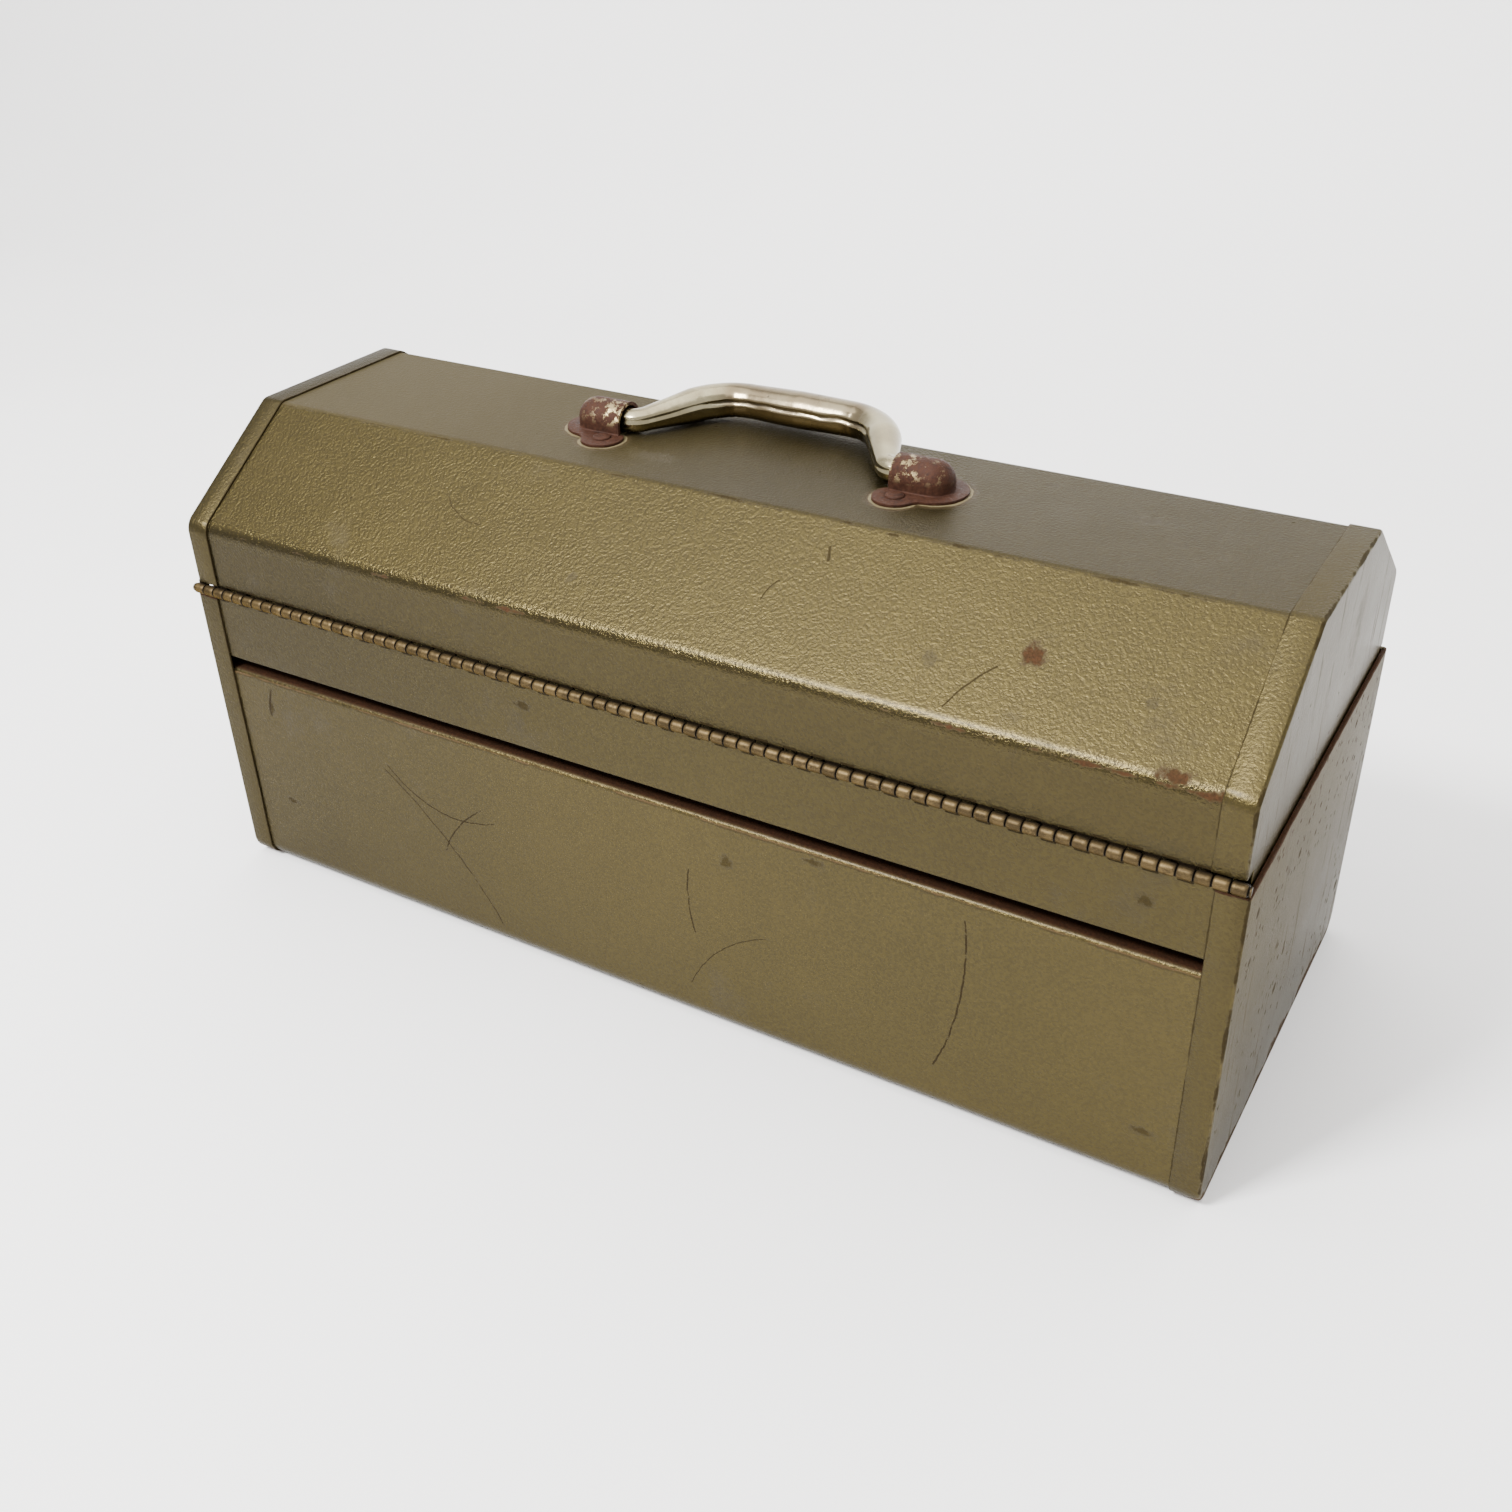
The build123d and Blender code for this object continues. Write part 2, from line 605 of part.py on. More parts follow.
def make_catch_lever():
    """The lever at +X, hanging open, with the hook that pulls the lid down."""
    knuckle = LEVER_WIDTH - LEVER_NECK - 2 * FIT
    tip = CATCH_AXIS_Z - LEVER_LENGTH
    shoulder = CATCH_AXIS_Z - CATCH_BARREL - LEVER_SHOULDER
    face = Plane.XZ.offset(CATCH_AXIS_Y - LEVER_SHEET / 2)
    with BuildPart() as lever:
        with BuildSketch(face):
            with Locations((CATCH_X, (tip + shoulder) / 2)):
                RectangleRounded(LEVER_WIDTH, shoulder - tip, LEVER_CORNER)
            with Locations((CATCH_X, (shoulder + CATCH_AXIS_Z) / 2 - LEVER_CORNER / 2)):
                Rectangle(knuckle, CATCH_AXIS_Z - shoulder + LEVER_CORNER)
        extrude(amount=LEVER_SHEET)
        with Locations((CATCH_X, -CATCH_AXIS_Y, CATCH_AXIS_Z)):
            Cylinder(CATCH_BARREL - FIT, knuckle, rotation=(0, 90, 0))
        hook = LEVER_WIDTH / 2 - LEVER_CORNER
        front = -CATCH_AXIS_Y - LEVER_SHEET / 2
        box_between(
            (CATCH_X - hook, front - LEVER_HOOK, tip),
            (CATCH_X + hook, front, tip + LEVER_SHEET),
        )
        with Locations((CATCH_X, -CATCH_AXIS_Y, CATCH_AXIS_Z)):
            bore = CATCH_PIN + PIN_RUNNING_FIT
            Cylinder(bore, LEVER_WIDTH, rotation=(0, 90, 0), mode=Mode.SUBTRACT)
    return lever


def make_strike():
    """Strike at +X on the lid: a plate whose top edge turns out as a lip for the hook."""
    foot = BODY_HEIGHT + STRIKE_FOOT
    top = CATCH_AXIS_Z + LEVER_LENGTH - LEVER_SHEET - 2 * FIT
    lip = -WALL - CATCH_PLATE - STRIKE_LIP
    with BuildPart() as strike:
        add(front_plate(CATCH_X, STRIKE_WIDTH, foot, top))
        box_between(
            (CATCH_X - STRIKE_WIDTH / 2, lip, top - LEVER_SHEET),
            (CATCH_X + STRIKE_WIDTH / 2, -WALL, top),
        )
        drill(SMALL_RIVET, ON_PLATE, strike_rivet_places(1))
    return strike


def make_staple():
    """Padlock staple on the body: a riveted foot and an upright blade with the eye."""
    top = BODY_HEIGHT - STAPLE_RIM_GAP
    foot = top - STAPLE_FOOT_HEIGHT
    eye_y = -WALL - (BLADE_GAP + BLADE_OUT) / 2
    with BuildPart() as staple:
        add(front_plate(0, STAPLE_WIDTH, foot, top))
        root = foot + BLADE_MARGIN
        box_between(
            (-BLADE / 2, -WALL - BLADE_OUT, root), (BLADE / 2, -WALL, top - BLADE_MARGIN)
        )
        box_between(
            (-BLADE / 2, -WALL - BLADE_OUT, root),
            (BLADE / 2, -WALL - BLADE_GAP, BODY_HEIGHT + BLADE_TOP),
        )
        corners = [
            e
            for e in staple.edges().filter_by(Axis.X)
            if e.center().Y < -WALL - BLADE_OUT + FIT
        ]
        fillet(corners, radius=BLADE_CORNER)
        with Locations((0, eye_y, BODY_HEIGHT + EYE_HEIGHT)):
            Cylinder(EYE_RADIUS, 2 * BLADE, rotation=(0, 90, 0), mode=Mode.SUBTRACT)
        drill(SMALL_RIVET, ON_PLATE, staple_rivet_places())
    return staple


def make_hasp_tab():
    """Forked tab on the lid, which drops over the staple's blade from above."""
    foot = BODY_HEIGHT + TAB_FOOT
    with BuildPart() as tab:
        add(front_plate(0, STAPLE_WIDTH, foot, foot + TAB_RISE))
        box_between(
            (-TAB_WIDTH / 2, -WALL - TAB_OUT, foot), (TAB_WIDTH / 2, -WALL, foot + CATCH_PLATE)
        )
        slot = BLADE / 2 + TAB_SLOT_GAP
        box_between(
            (-slot, -WALL - TAB_OUT - OVERCUT, foot - OVERCUT),
            (slot, -WALL - CATCH_PLATE, foot + CATCH_PLATE + OVERCUT),
            mode=Mode.SUBTRACT,
        )
        drill(SMALL_RIVET, ON_PLATE, tab_rivet_places())
    return tab


# ---- Tray -----------------------------------------------------------------------------


def make_tray_pan():
    """Bottom and long walls of the tray in one folded sheet, with hemmed rims."""
    line = [
        (-TRAY_HALF_WIDTH, TRAY_RIM),
        (-TRAY_HALF_WIDTH, TRAY_BASE),
        (TRAY_HALF_WIDTH, TRAY_BASE),
        (TRAY_HALF_WIDTH, TRAY_RIM),
    ]
    inside = TRAY_HALF_WIDTH - TRAY_SHEET
    hem_end = TRAY_HALF_LENGTH - TRAY_FLANGE - FIT
    with BuildPart() as pan:
        with BuildSketch(Plane.YZ.offset(-TRAY_HALF_LENGTH)):
            add(folded(line, [TRAY_CORNER, TRAY_CORNER], TRAY_SHEET))
        extrude(amount=2 * TRAY_HALF_LENGTH)
        for side in (-1, 1):
            near, far = sorted((side * inside, side * (inside - TRAY_SHEET)))
            box_between((-hem_end, near, TRAY_RIM - TRAY_HEM), (hem_end, far, TRAY_RIM))
    return pan


def tray_panel(top, width_loss):
    """Outline of a cross panel that fits between the pan's walls."""
    with BuildSketch() as outline:
        with Locations((0, TRAY_BASE + TRAY_SHEET + width_loss)):
            half = TRAY_HALF_WIDTH - TRAY_SHEET - width_loss
            height = top - TRAY_BASE - TRAY_SHEET - width_loss
            Rectangle(2 * half, height, align=(Align.CENTER, Align.MIN))
        bottom = outline.vertices().group_by(Axis.Y)[0]
        fillet(bottom, radius=TRAY_CORNER - TRAY_SHEET - width_loss)
    return outline.sketch


def make_cross_panel(outer_x, flange, top):
    """A panel across the tray whose flanges turn inwards along the pan, at +X."""
    with BuildPart() as panel:
        with BuildSketch(Plane.YZ.offset(outer_x - flange)):
            add(tray_panel(top, 0))
        extrude(amount=flange)
        with BuildSketch(Plane.YZ.offset(outer_x - flange)):
            add(tray_panel(top, TRAY_SHEET))
        extrude(amount=flange - TRAY_SHEET, mode=Mode.SUBTRACT)
    return panel


def strap_rivet_places():
    """Rivets of one leg of the tray's handle, across the tray."""
    height = TRAY_BASE + STRAP_RIVET_HEIGHT
    reach = STRAP_WIDTH / 2 - RIVET_EDGE
    return [(-reach, height), (reach, height)]


def make_tray_divider():
    """Divider at +X, its flanges turned away from the middle, where the strap is riveted."""
    top = TRAY_BASE + DIVIDER_HEIGHT
    with BuildPart() as divider:
        with BuildSketch(Plane.YZ.offset(DIVIDER_X)):
            add(tray_panel(top, 0))
        extrude(amount=TRAY_FLANGE)
        with BuildSketch(Plane.YZ.offset(DIVIDER_X + TRAY_SHEET)):
            add(tray_panel(top, TRAY_SHEET))
        extrude(amount=TRAY_FLANGE, mode=Mode.SUBTRACT)
        drill(SMALL_RIVET, strap_plane(1), strap_rivet_places())
    return divider


def strap_plane(side):
    """The inner face of one leg of the strap, seen from the middle of the tray."""
    middle = (side * (DIVIDER_X - STRAP), 0, 0)
    return Plane(middle, x_dir=(0, -side, 0), z_dir=(-side, 0, 0))


def make_tray_handle():
    """Fixed strap handle of the tray, riveted to the two dividers."""
    foot = TRAY_BASE + STRAP_FOOT
    top = ROOF_HEIGHT - SHEET - STRAP_HEADROOM
    line = [(-DIVIDER_X, foot), (-DIVIDER_X, top), (DIVIDER_X, top), (DIVIDER_X, foot)]
    with BuildPart() as strap:
        with BuildSketch(Plane.XZ.offset(-STRAP_WIDTH / 2)):
            with BuildLine():
                outer = FilletPolyline(*line, radius=[STRAP_RADIUS, STRAP_RADIUS])
                offset(outer, amount=STRAP, side=Side.RIGHT)
            make_face()
        extrude(amount=STRAP_WIDTH)
        for side in (-1, 1):
            drill(SMALL_RIVET, strap_plane(side), strap_rivet_places())
    return strap


# ---- The pieces and their files -------------------------------------------------------


def single_pieces():
    """Pieces that the box has once."""
    plate_grip = CATCH_PLATE + SHEET
    body_leaf = make_hinge_leaf(
        0,
        CAP_INSIDE - FIT,
        BODY_HEIGHT - LEAF_DEPTH,
        BODY_HEIGHT + LEAF_RISE,
        BODY_HEIGHT,
        AXIS_Z,
    )
    lid_leaf = make_hinge_leaf(
        1,
        LID_CAP_INSIDE - FIT,
        LID_BACK - LEAF,
        LID_BACK + LEAF_DEPTH,
        AXIS_Z,
        LID_BACK,
    )
    return {
        "body_wrap": make_body_wrap(),
        "lid_wrap": make_lid_wrap(),
        "hinge_leaf_body": body_leaf,
        "hinge_leaf_lid": lid_leaf,
        "hinge_pin": make_hinge_pin(),
        "carry_handle": make_handle(),
        "padlock_staple": make_staple(),
        "staple_rivets": rivets(SMALL_RIVET, plate_grip, ON_PLATE, staple_rivet_places()),
        "hasp_tab": make_hasp_tab(),
        "hasp_tab_rivets": rivets(SMALL_RIVET, plate_grip, ON_PLATE, tab_rivet_places()),
        "tray_pan": make_tray_pan(),
        "tray_handle": make_tray_handle(),
    }


def paired_pieces():
    """Pieces that the box has at both ends, as made for +X."""
    plate_grip = CATCH_PLATE + SHEET
    bracket_top = ROOF.offset(BRACKET_SHEET)
    bracket_grip = BRACKET_SHEET + SHEET
    strap_grip = STRAP + TRAY_SHEET
    return {
        "body_end": make_body_end(),
        "lid_end": make_lid_end(),
        "handle_bracket": make_bracket(),
        "bracket_rivets": rivets(
            BRACKET_RIVET, bracket_grip, bracket_top, bracket_rivet_places(1)
        ),
        "catch_base": make_catch_base(),
        "catch_base_rivets": rivets(SMALL_RIVET, plate_grip, ON_PLATE, catch_rivet_places(1)),
        "catch_pin": make_catch_pin(),
        "catch_lever": make_catch_lever(),
        "strike": make_strike(),
        "strike_rivets": rivets(SMALL_RIVET, plate_grip, ON_PLATE, strike_rivet_places(1)),
        "tray_end": make_cross_panel(TRAY_HALF_LENGTH, TRAY_FLANGE, TRAY_RIM),
        "tray_divider": make_tray_divider(),
        "tray_handle_rivets": rivets(
            SMALL_RIVET, strap_grip, strap_plane(1), strap_rivet_places()
        ),
    }


def main():
    os.makedirs("parts", exist_ok=True)
    pieces = single_pieces()
    for name, piece in paired_pieces().items():
        pieces[f"{name}_right"] = piece
        pieces[f"{name}_left"] = mirrored(piece.part)
    for name, piece in pieces.items():
        piece.part.label = name
        export_step(piece.part, f"parts/{name}.step")


if __name__ == "__main__":
    main()
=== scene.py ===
"""Looks of the hip-roof tool box: hammered enamel, piano hinge, rusty brackets and nickel handle."""

import json
import math
from functools import partialmethod, reduce
from itertools import product

import bmesh
import bpy
from mathutils import Matrix, Vector, noise


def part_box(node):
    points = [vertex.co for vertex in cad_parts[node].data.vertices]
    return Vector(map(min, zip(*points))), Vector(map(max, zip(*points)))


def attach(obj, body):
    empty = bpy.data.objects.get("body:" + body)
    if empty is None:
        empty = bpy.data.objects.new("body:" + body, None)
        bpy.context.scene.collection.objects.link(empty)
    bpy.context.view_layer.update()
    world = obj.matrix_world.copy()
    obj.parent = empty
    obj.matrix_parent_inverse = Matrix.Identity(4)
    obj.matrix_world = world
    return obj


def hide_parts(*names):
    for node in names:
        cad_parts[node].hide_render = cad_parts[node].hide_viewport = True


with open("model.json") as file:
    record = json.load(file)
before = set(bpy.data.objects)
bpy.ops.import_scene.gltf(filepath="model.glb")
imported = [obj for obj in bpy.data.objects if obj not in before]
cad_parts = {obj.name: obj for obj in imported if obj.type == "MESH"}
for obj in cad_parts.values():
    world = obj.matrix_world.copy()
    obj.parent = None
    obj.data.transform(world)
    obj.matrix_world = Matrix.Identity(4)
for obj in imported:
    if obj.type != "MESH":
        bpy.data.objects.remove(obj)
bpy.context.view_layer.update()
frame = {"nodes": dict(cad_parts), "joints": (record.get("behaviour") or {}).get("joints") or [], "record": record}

bl_info = {
    "name": "Hip-roof tool box",
    "version": (1, 0, 0),
    "blender": (4, 5, 0),
    "location": "View3D > Sidebar > Tool Box",
    "description": "Finishes a folded steel tool box with hammered enamel, wear and hardware",
    "category": "Object",
}

MM = 0.001


# ---- Places read from the frame -------------------------------------------------------

BODY_OF = {
    node: body
    for body, nodes in frame["record"]["behaviour"]["bodies"].items()
    for node in nodes
}
AXES = {j["name"]: Vector(j["pos_m"]) for j in frame["joints"] if "pos_m" in j}
PIVOT, HINGE = AXES["handle_swing"], AXES["lid_open"]
BODY_FLANGE, BODY_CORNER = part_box("body_end_right")      # flange's inner edge, outer corner
LID_FLANGE, LID_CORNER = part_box("lid_end_right")
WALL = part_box("body_wrap")[1].y
RIM = BODY_CORNER.z
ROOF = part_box("lid_wrap")[1].z
LID_EDGE = RIM + 6.7 * MM          # the lid's back edge
EAVE = RIM + 36.3 * MM             # fold between the lid's walls and slopes
ROOF_EDGE = 42.6 * MM              # fold between the slopes and the flat top
GROOVE_TOP = RIM - 32 * MM
GROOVE_LOW = GROOVE_TOP - 6.3 * MM
SHEET = BODY_CORNER.y - WALL
SLOPE = math.atan2(ROOF - EAVE, WALL - ROOF_EDGE)
EAR = Vector((72.6, 13.8)) * MM    # a bracket's rivet
EAR_RADIUS = 9.6 * MM
DOME = Vector((83.6, 0)) * MM      # middle of a bracket's rounded end
TAIL_RADIUS = 14.6 * MM


def srgb(code):
    """A linear colour from a hex code."""
    values = [int(code[i : i + 2], 16) / 255 for i in (0, 2, 4)]
    linear = [v / 12.92 if v <= 0.04045 else ((v + 0.055) / 1.055) ** 2.4 for v in values]
    return (*linear, 1.0)


# ---- Settings -------------------------------------------------------------------------


def colour_setting(name, description, code):
    """A colour property with its default."""
    return bpy.props.FloatVectorProperty(
        name=name, description=description, subtype="COLOR", size=4, default=srgb(code), min=0, max=1
    )


def length_setting(name, description, default):
    """A length property with its default in millimetres."""
    return number_setting(name, description, default * MM, unit="LENGTH", min=0, max=1)


def number_setting(name, description, default, **limits):
    """A number's property with its default."""
    return bpy.props.FloatProperty(name=name, description=description, default=default, **limits)


class EnamelSettings(bpy.types.PropertyGroup):
    """The hammered enamel and its wear."""

    base: colour_setting("Enamel", "Colour of the enamel", "433A20")
    shade: colour_setting("Enamel shade", "Darker tone that the enamel drifts to", "3D351E")
    fleck: colour_setting("Metal fleck", "Tone of the dimples' bright rims", "524825")
    # Its share on the lid's top grows towards +X as a painted sheen that lightens that end.
    dust_and_sheen: colour_setting("Dust", "Film on the flat top", "4C4430")
    # Also the colour of painted shade in the groove and at the hinge's notches.
    grime_and_shade: colour_setting("Grime", "Dirt in seams, grooves and marks", "1A1209")
    rust: colour_setting("Rust", "Rust on edges and in patches", "2C1A12")
    light_rust: colour_setting("Light rust", "Paler grain in the rust", "402619")
    halo: colour_setting("Halo", "Pale ring round the brackets", "8C8260")
    worn: colour_setting("Worn edge", "A fold rubbed through the enamel", "55432B")
    cell: length_setting("Hammer cell", "Width of one hammered dimple", 1.3)
    depth: length_setting("Hammer depth", "Depth of the dimples", 0.2)


class HingeSettings(bpy.types.PropertyGroup):
    """The piano hinge's rolled knuckles and leaves."""

    knuckles: bpy.props.IntProperty(
        name="Knuckles", description="Knuckles of both leaves together", default=80, min=2
    )
    radius: length_setting("Barrel radius", "Outer radius of the rolled knuckles", 2.595)
    gap: length_setting("Gap", "Space between two knuckles", 0.3)
    edge: length_setting("Rolled edge", "How far the ends of a knuckle are rounded in", 0.4)
    sheet: length_setting("Sheet", "Thickness of the leaves", 0.9)
    leaf: length_setting("Leaf height", "Height of each leaf on its wall", 18.0)
    paint: colour_setting("Paint", "Old paint on the knuckles", "3B3122")
    light_paint: colour_setting("Light paint", "Paler grain in the paint", "4A3E2A")
    dark_paint: colour_setting("Dark paint", "What some knuckles darken to", "2E2619")
    rubbed: colour_setting("Rubbed steel", "Steel that shows on the crests", "5E4F35")
    # Colour of dark specks and of the painted shade between the knuckles and on their side towards the box.
    dirt_and_shade: colour_setting("Dirt", "Dirt between the knuckles", "0E0A07")


class RivetSettings(bpy.types.PropertyGroup):
    """Pressed rivets: heads outside, spread tails inside."""

    large_head: length_setting("Large head", "Head radius of the bracket rivets", 4.1)
    large_rise: length_setting("Large rise", "Head height of the bracket rivets", 1.2)
    large_tail: length_setting("Large tail", "Tail radius of the bracket rivets", 3.2)
    small_head: length_setting("Small head", "Head radius of the other rivets", 2.6)
    small_rise: length_setting("Small rise", "Head height of the other rivets", 1.2)
    small_tail: length_setting("Small tail", "Tail radius of the other rivets", 2.4)


class HandleSettings(bpy.types.PropertyGroup):
    """The bowed carrying handle, rolled from sheet with an open seam."""

    reach: length_setting("Reach", "Pivot axis to the middle of the grip", 38.3)
    knee: length_setting("Knee", "Half distance between the corners at the pivots", 61.9)
    shoulder: length_setting("Shoulder", "Half distance between the corners at the grip", 40.2)
    knee_bend: length_setting("Knee bend", "Radius of the bend at a pivot", 6.5)
    shoulder_bend: length_setting("Shoulder bend", "Radius of the bend at the grip", 28.0)
    stub: length_setting("Stub radius", "Tube radius at the pivots", 5.25)
    arm: length_setting("Arm radius", "Tube radius at the shoulders", 7.8)
    grip: length_setting("Grip radius", "Tube radius in the middle", 8.35)
    wall: length_setting("Wall", "Thickness of the tube", 1.2)
    seam_depth: length_setting("Seam depth", "Depth of the open seam", 1.0)
    seam_width: length_setting("Seam width", "Width of the open seam", 0.9)
    tilt: number_setting(
        "Tilt", "How far the resting handle slants up", math.radians(4.19), subtype="ANGLE"
    )


class HardwareSettings(bpy.types.PropertyGroup):
    """Finishes of the metal fittings."""

    edge: length_setting("Soft edge", "Rounding of the fittings' sharp edges", 0.3)
    fold_edge: length_setting("Sheet edge", "Rounding of the end caps' cut edges", 0.2)
    nickel: colour_setting("Nickel", "Dull nickel of the handle", "9E967A")
    dark_nickel: colour_setting("Dark nickel", "Clouds in the nickel", "83795F")
    tarnish: colour_setting("Tarnish", "Brown patches on the nickel", "4E3E2D")
    # Painted reflection: the brown band on the grip's camera-facing half.
    reflected_brown: colour_setting("Handled nickel", "Brown film where the grip is held", "574737")
    # Also the painted shade in the handle's open seam.
    pit_and_seam_shade: colour_setting("Pit", "Pits and the open seam", "17120D")
    plating: colour_setting("Plating", "Zinc plating of the catches and the hasp", "8A867B")
    rust: colour_setting("Rust", "Rust of the brackets", "2C1810")
    light_rust: colour_setting("Light rust", "Paler rust of the brackets", "3E261A")
    dark_rust: colour_setting("Dark rust", "Crusted rust of the brackets", "1A0F0B")
    old_plating: colour_setting("Old plating", "Plating left on the brackets", "94835F")
    freckle: colour_setting("Rust freckle", "Rust spots on the plating", "3C2519")


class StageSettings(bpy.types.PropertyGroup):
    """Floor, lights and camera."""

    floor: colour_setting("Floor", "Colour of the floor and backdrop", "F6F5F4")
    light_floor: colour_setting("Light floor", "Paler clouds in the floor's paint", "F9F8F7")
    room: colour_setting("Room", "Colour of the room's light", "F4F3F2")
    brightness: number_setting("Room brightness", "Strength of the room's light", 1.55, min=0)
    key_power: number_setting("Key light", "Power of the light behind the box", 105, unit="POWER")
    ceiling_power: number_setting("Ceiling light", "Power of the light above", 42, unit="POWER")
    focal: number_setting("Focal length", "Lens in millimetres on a 36 mm sensor", 38.2, min=10, max=200)


# ---- Node helpers ---------------------------------------------------------------------


class Graph:
    """Adds nodes to a node tree. An input takes a value or another node's socket."""

    def __init__(self, tree):
        self.tree = tree

    def put(self, socket, value):
        if isinstance(value, bpy.types.NodeSocket):
            self.tree.links.new(value, socket)
        else:
            socket.default_value = value

    def fill(self, node, inputs):
        """Sets a node's inputs. An underscore in a name stands for a space."""
        for key, value in inputs.items():
            self.put(node.inputs[key.replace("_", " ")], value)

    def node(self, kind, settings=None, **inputs):
        made = self.tree.nodes.new(kind)
        for key, value in (settings or {}).items():
            setattr(made, key, value)
        self.fill(made, inputs)
        return made

    def output(self, kind, settings=None, **inputs):
        """A new node's first output."""
        return self.node(kind, settings, **inputs).outputs[0]

    def math(self, operation, *values):
        made = self.node("ShaderNodeMath", {"operation": operation})
        for socket, value in zip(made.inputs, values):
            self.put(socket, value)
        return made.outputs[0]

    plus = partialmethod(math, "ADD")
    minus = partialmethod(math, "SUBTRACT")
    over = partialmethod(math, "DIVIDE")
    abs = partialmethod(math, "ABSOLUTE")
    scaled = partialmethod(math, "MULTIPLY_ADD")  # a value, its factor and what is added

    def vector(self, operation, first, second=(0, 0, 0)):
        made = self.node("ShaderNodeVectorMath", {"operation": operation})
        self.put(made.inputs[0], first)
        self.put(made.inputs["Scale" if operation == "SCALE" else 1], second)
        return made.outputs["Value" if operation in ("LENGTH", "DISTANCE") else "Vector"]

    def combine(self, x, y, z=0.0):
        return self.output("ShaderNodeCombineXYZ", X=x, Y=y, Z=z)

    def split(self, vector):
        return self.node("ShaderNodeSeparateXYZ", Vector=vector).outputs

    def between(self, kind, sockets, values):
        made = self.node("ShaderNodeMix", {"data_type": kind, "clamp_factor": True})
        for socket, value in zip(sockets, values):
            self.put(made.inputs[socket], value)
        return made.outputs

    def mix(self, *values):
        """By a factor, between a first and a second colour."""
        return self.between("RGBA", (0, 6, 7), values)[2]

    def blend(self, *values):
        """By a factor, between a first and a second number."""
        return self.between("FLOAT", (0, 2, 3), values)[0]

    def step(self, value, low, high):
        """0 at low and 1 at high, smooth between. Low may be the larger number."""
        falling = isinstance(low, float) and isinstance(high, float) and low > high
        made = self.node("ShaderNodeMapRange", {"interpolation_type": "SMOOTHSTEP"}, Value=value)
        ends = (high, low, 1.0, 0.0) if falling else (low, high, 0.0, 1.0)
        self.fill(made, dict(zip(("From Min", "From Max", "To Min", "To Max"), ends)))
        return made.outputs[0]

    def within(self, value, low, high, soft):
        """1 between low and high, with soft ends."""
        return self.times(self.step(value, low - soft, low), self.step(value, high + soft, high))

    def noise(self, vector, scale, detail=4.0, roughness=0.55):
        return self.output(
            "ShaderNodeTexNoise", Vector=vector, Scale=scale, Detail=detail, Roughness=roughness
        )

    def streaks(self, vector, stretch, scale, detail, roughness=0.55):
        """Noise squeezed along some axes."""
        squeezed = self.output("ShaderNodeMapping", Vector=vector, Scale=stretch)
        return self.noise(squeezed, scale, detail, roughness)

    def most(self, *masks):
        """The largest of several masks."""
        return reduce(lambda first, second: self.math("MAXIMUM", first, second), masks)

    def times(self, *values):
        """The product of several values."""
        return reduce(lambda first, second: self.math("MULTIPLY", first, second), values)

    def place(self, name, **inputs):
        """The outputs of a shader node group."""
        return self.node("ShaderNodeGroup", {"node_tree": bpy.data.node_groups[name]}, **inputs).outputs


SOCKETS = {
    float: "NodeSocketFloat",
    int: "NodeSocketInt",
    tuple: "NodeSocketVector",
    "Geometry": "NodeSocketGeometry",
    "Material": "NodeSocketMaterial",
}


def new_tree(kind, name, inputs, outputs):
    """A node tree with named inputs, given with their defaults, and named outputs."""
    tree = bpy.data.node_groups.new(name, kind)
    for label, default in inputs.items():
        socket_type = SOCKETS.get(label) or SOCKETS[type(default)]
        socket = tree.interface.new_socket(label, in_out="INPUT", socket_type=socket_type)
        if default is not None:
            socket.default_value = default
    for label in outputs:
        socket_type = SOCKETS.get(label, SOCKETS[float])
        tree.interface.new_socket(label, in_out="OUTPUT", socket_type=socket_type)
    graph = Graph(tree)
    return graph, graph.node("NodeGroupInput").outputs, graph.node("NodeGroupOutput").inputs


def shader_group(name, *outputs, **inputs):
    """A shader node group that works on a place."""
    return new_tree("ShaderNodeTree", name, {"Place": (0, 0, 0), **inputs}, outputs)


def build_hammered():
    """Dimples of hammered enamel: their height in metres and a mask of their bright rims."""
    g, given, out = shader_group("Hammered", "Height", "Rim", Cell=2.3 * MM, Depth=0.1 * MM)
    place, cell = given["Place"], given["Cell"]
    scale = g.over(1.0, cell)
    warp = g.node("ShaderNodeTexNoise", Vector=place, Scale=scale, Detail=2.0).outputs["Color"]
    moved = g.vector("ADD", place, g.vector("SCALE", warp, g.times(cell, 1.6)))
    dimples = g.output(
        "ShaderNodeTexVoronoi", {"feature": "SMOOTH_F1"}, Vector=moved, Scale=scale, Smoothness=0.7
    )
    fine = g.noise(place, g.times(scale, 2.3), 3.0, 0.6)
    g.put(out["Height"], g.times(g.scaled(fine, 0.6, dimples), given["Depth"]))
    g.put(out["Rim"], g.step(g.scaled(fine, 0.5, dimples), 0.45, 0.95))


def build_patches():
    """Blotches with ragged edges, for rust and rubbed places. Cover runs from 0 to 1."""
    g, given, out = shader_group("Ragged patches", "Mask", "Grain", Size=20 * MM, Cover=0.3)
    scale = g.over(1.0, given["Size"])
    broad = g.noise(given["Place"], scale, 3.0)
    grain = g.noise(given["Place"], g.times(scale, 7.0), 6.0, 0.7)
    mixed = g.scaled(grain, 0.45, g.times(broad, 0.75))
    threshold = g.minus(0.95, g.times(given["Cover"], 0.7))
    g.put(out["Mask"], g.step(mixed, threshold, g.plus(threshold, 0.06)))
    g.put(out["Grain"], grain)


def build_line_wear():
    """Wear beside a line, where Off is 0: solid near it, broken up by grain further off."""
    g, given, out = shader_group("Line wear", "Mask", Off=0.0, Width=2 * MM, Amount=0.5)
    ragged = g.noise(given["Place"], 45.0, 6.0, 0.7)
    near = g.over(g.abs(given["Off"]), given["Width"])
    reach = g.scaled(g.minus(ragged, 0.5), 4.0, given["Amount"])
    g.put(out["Mask"], g.step(g.minus(reach, near), -0.25, 0.25))


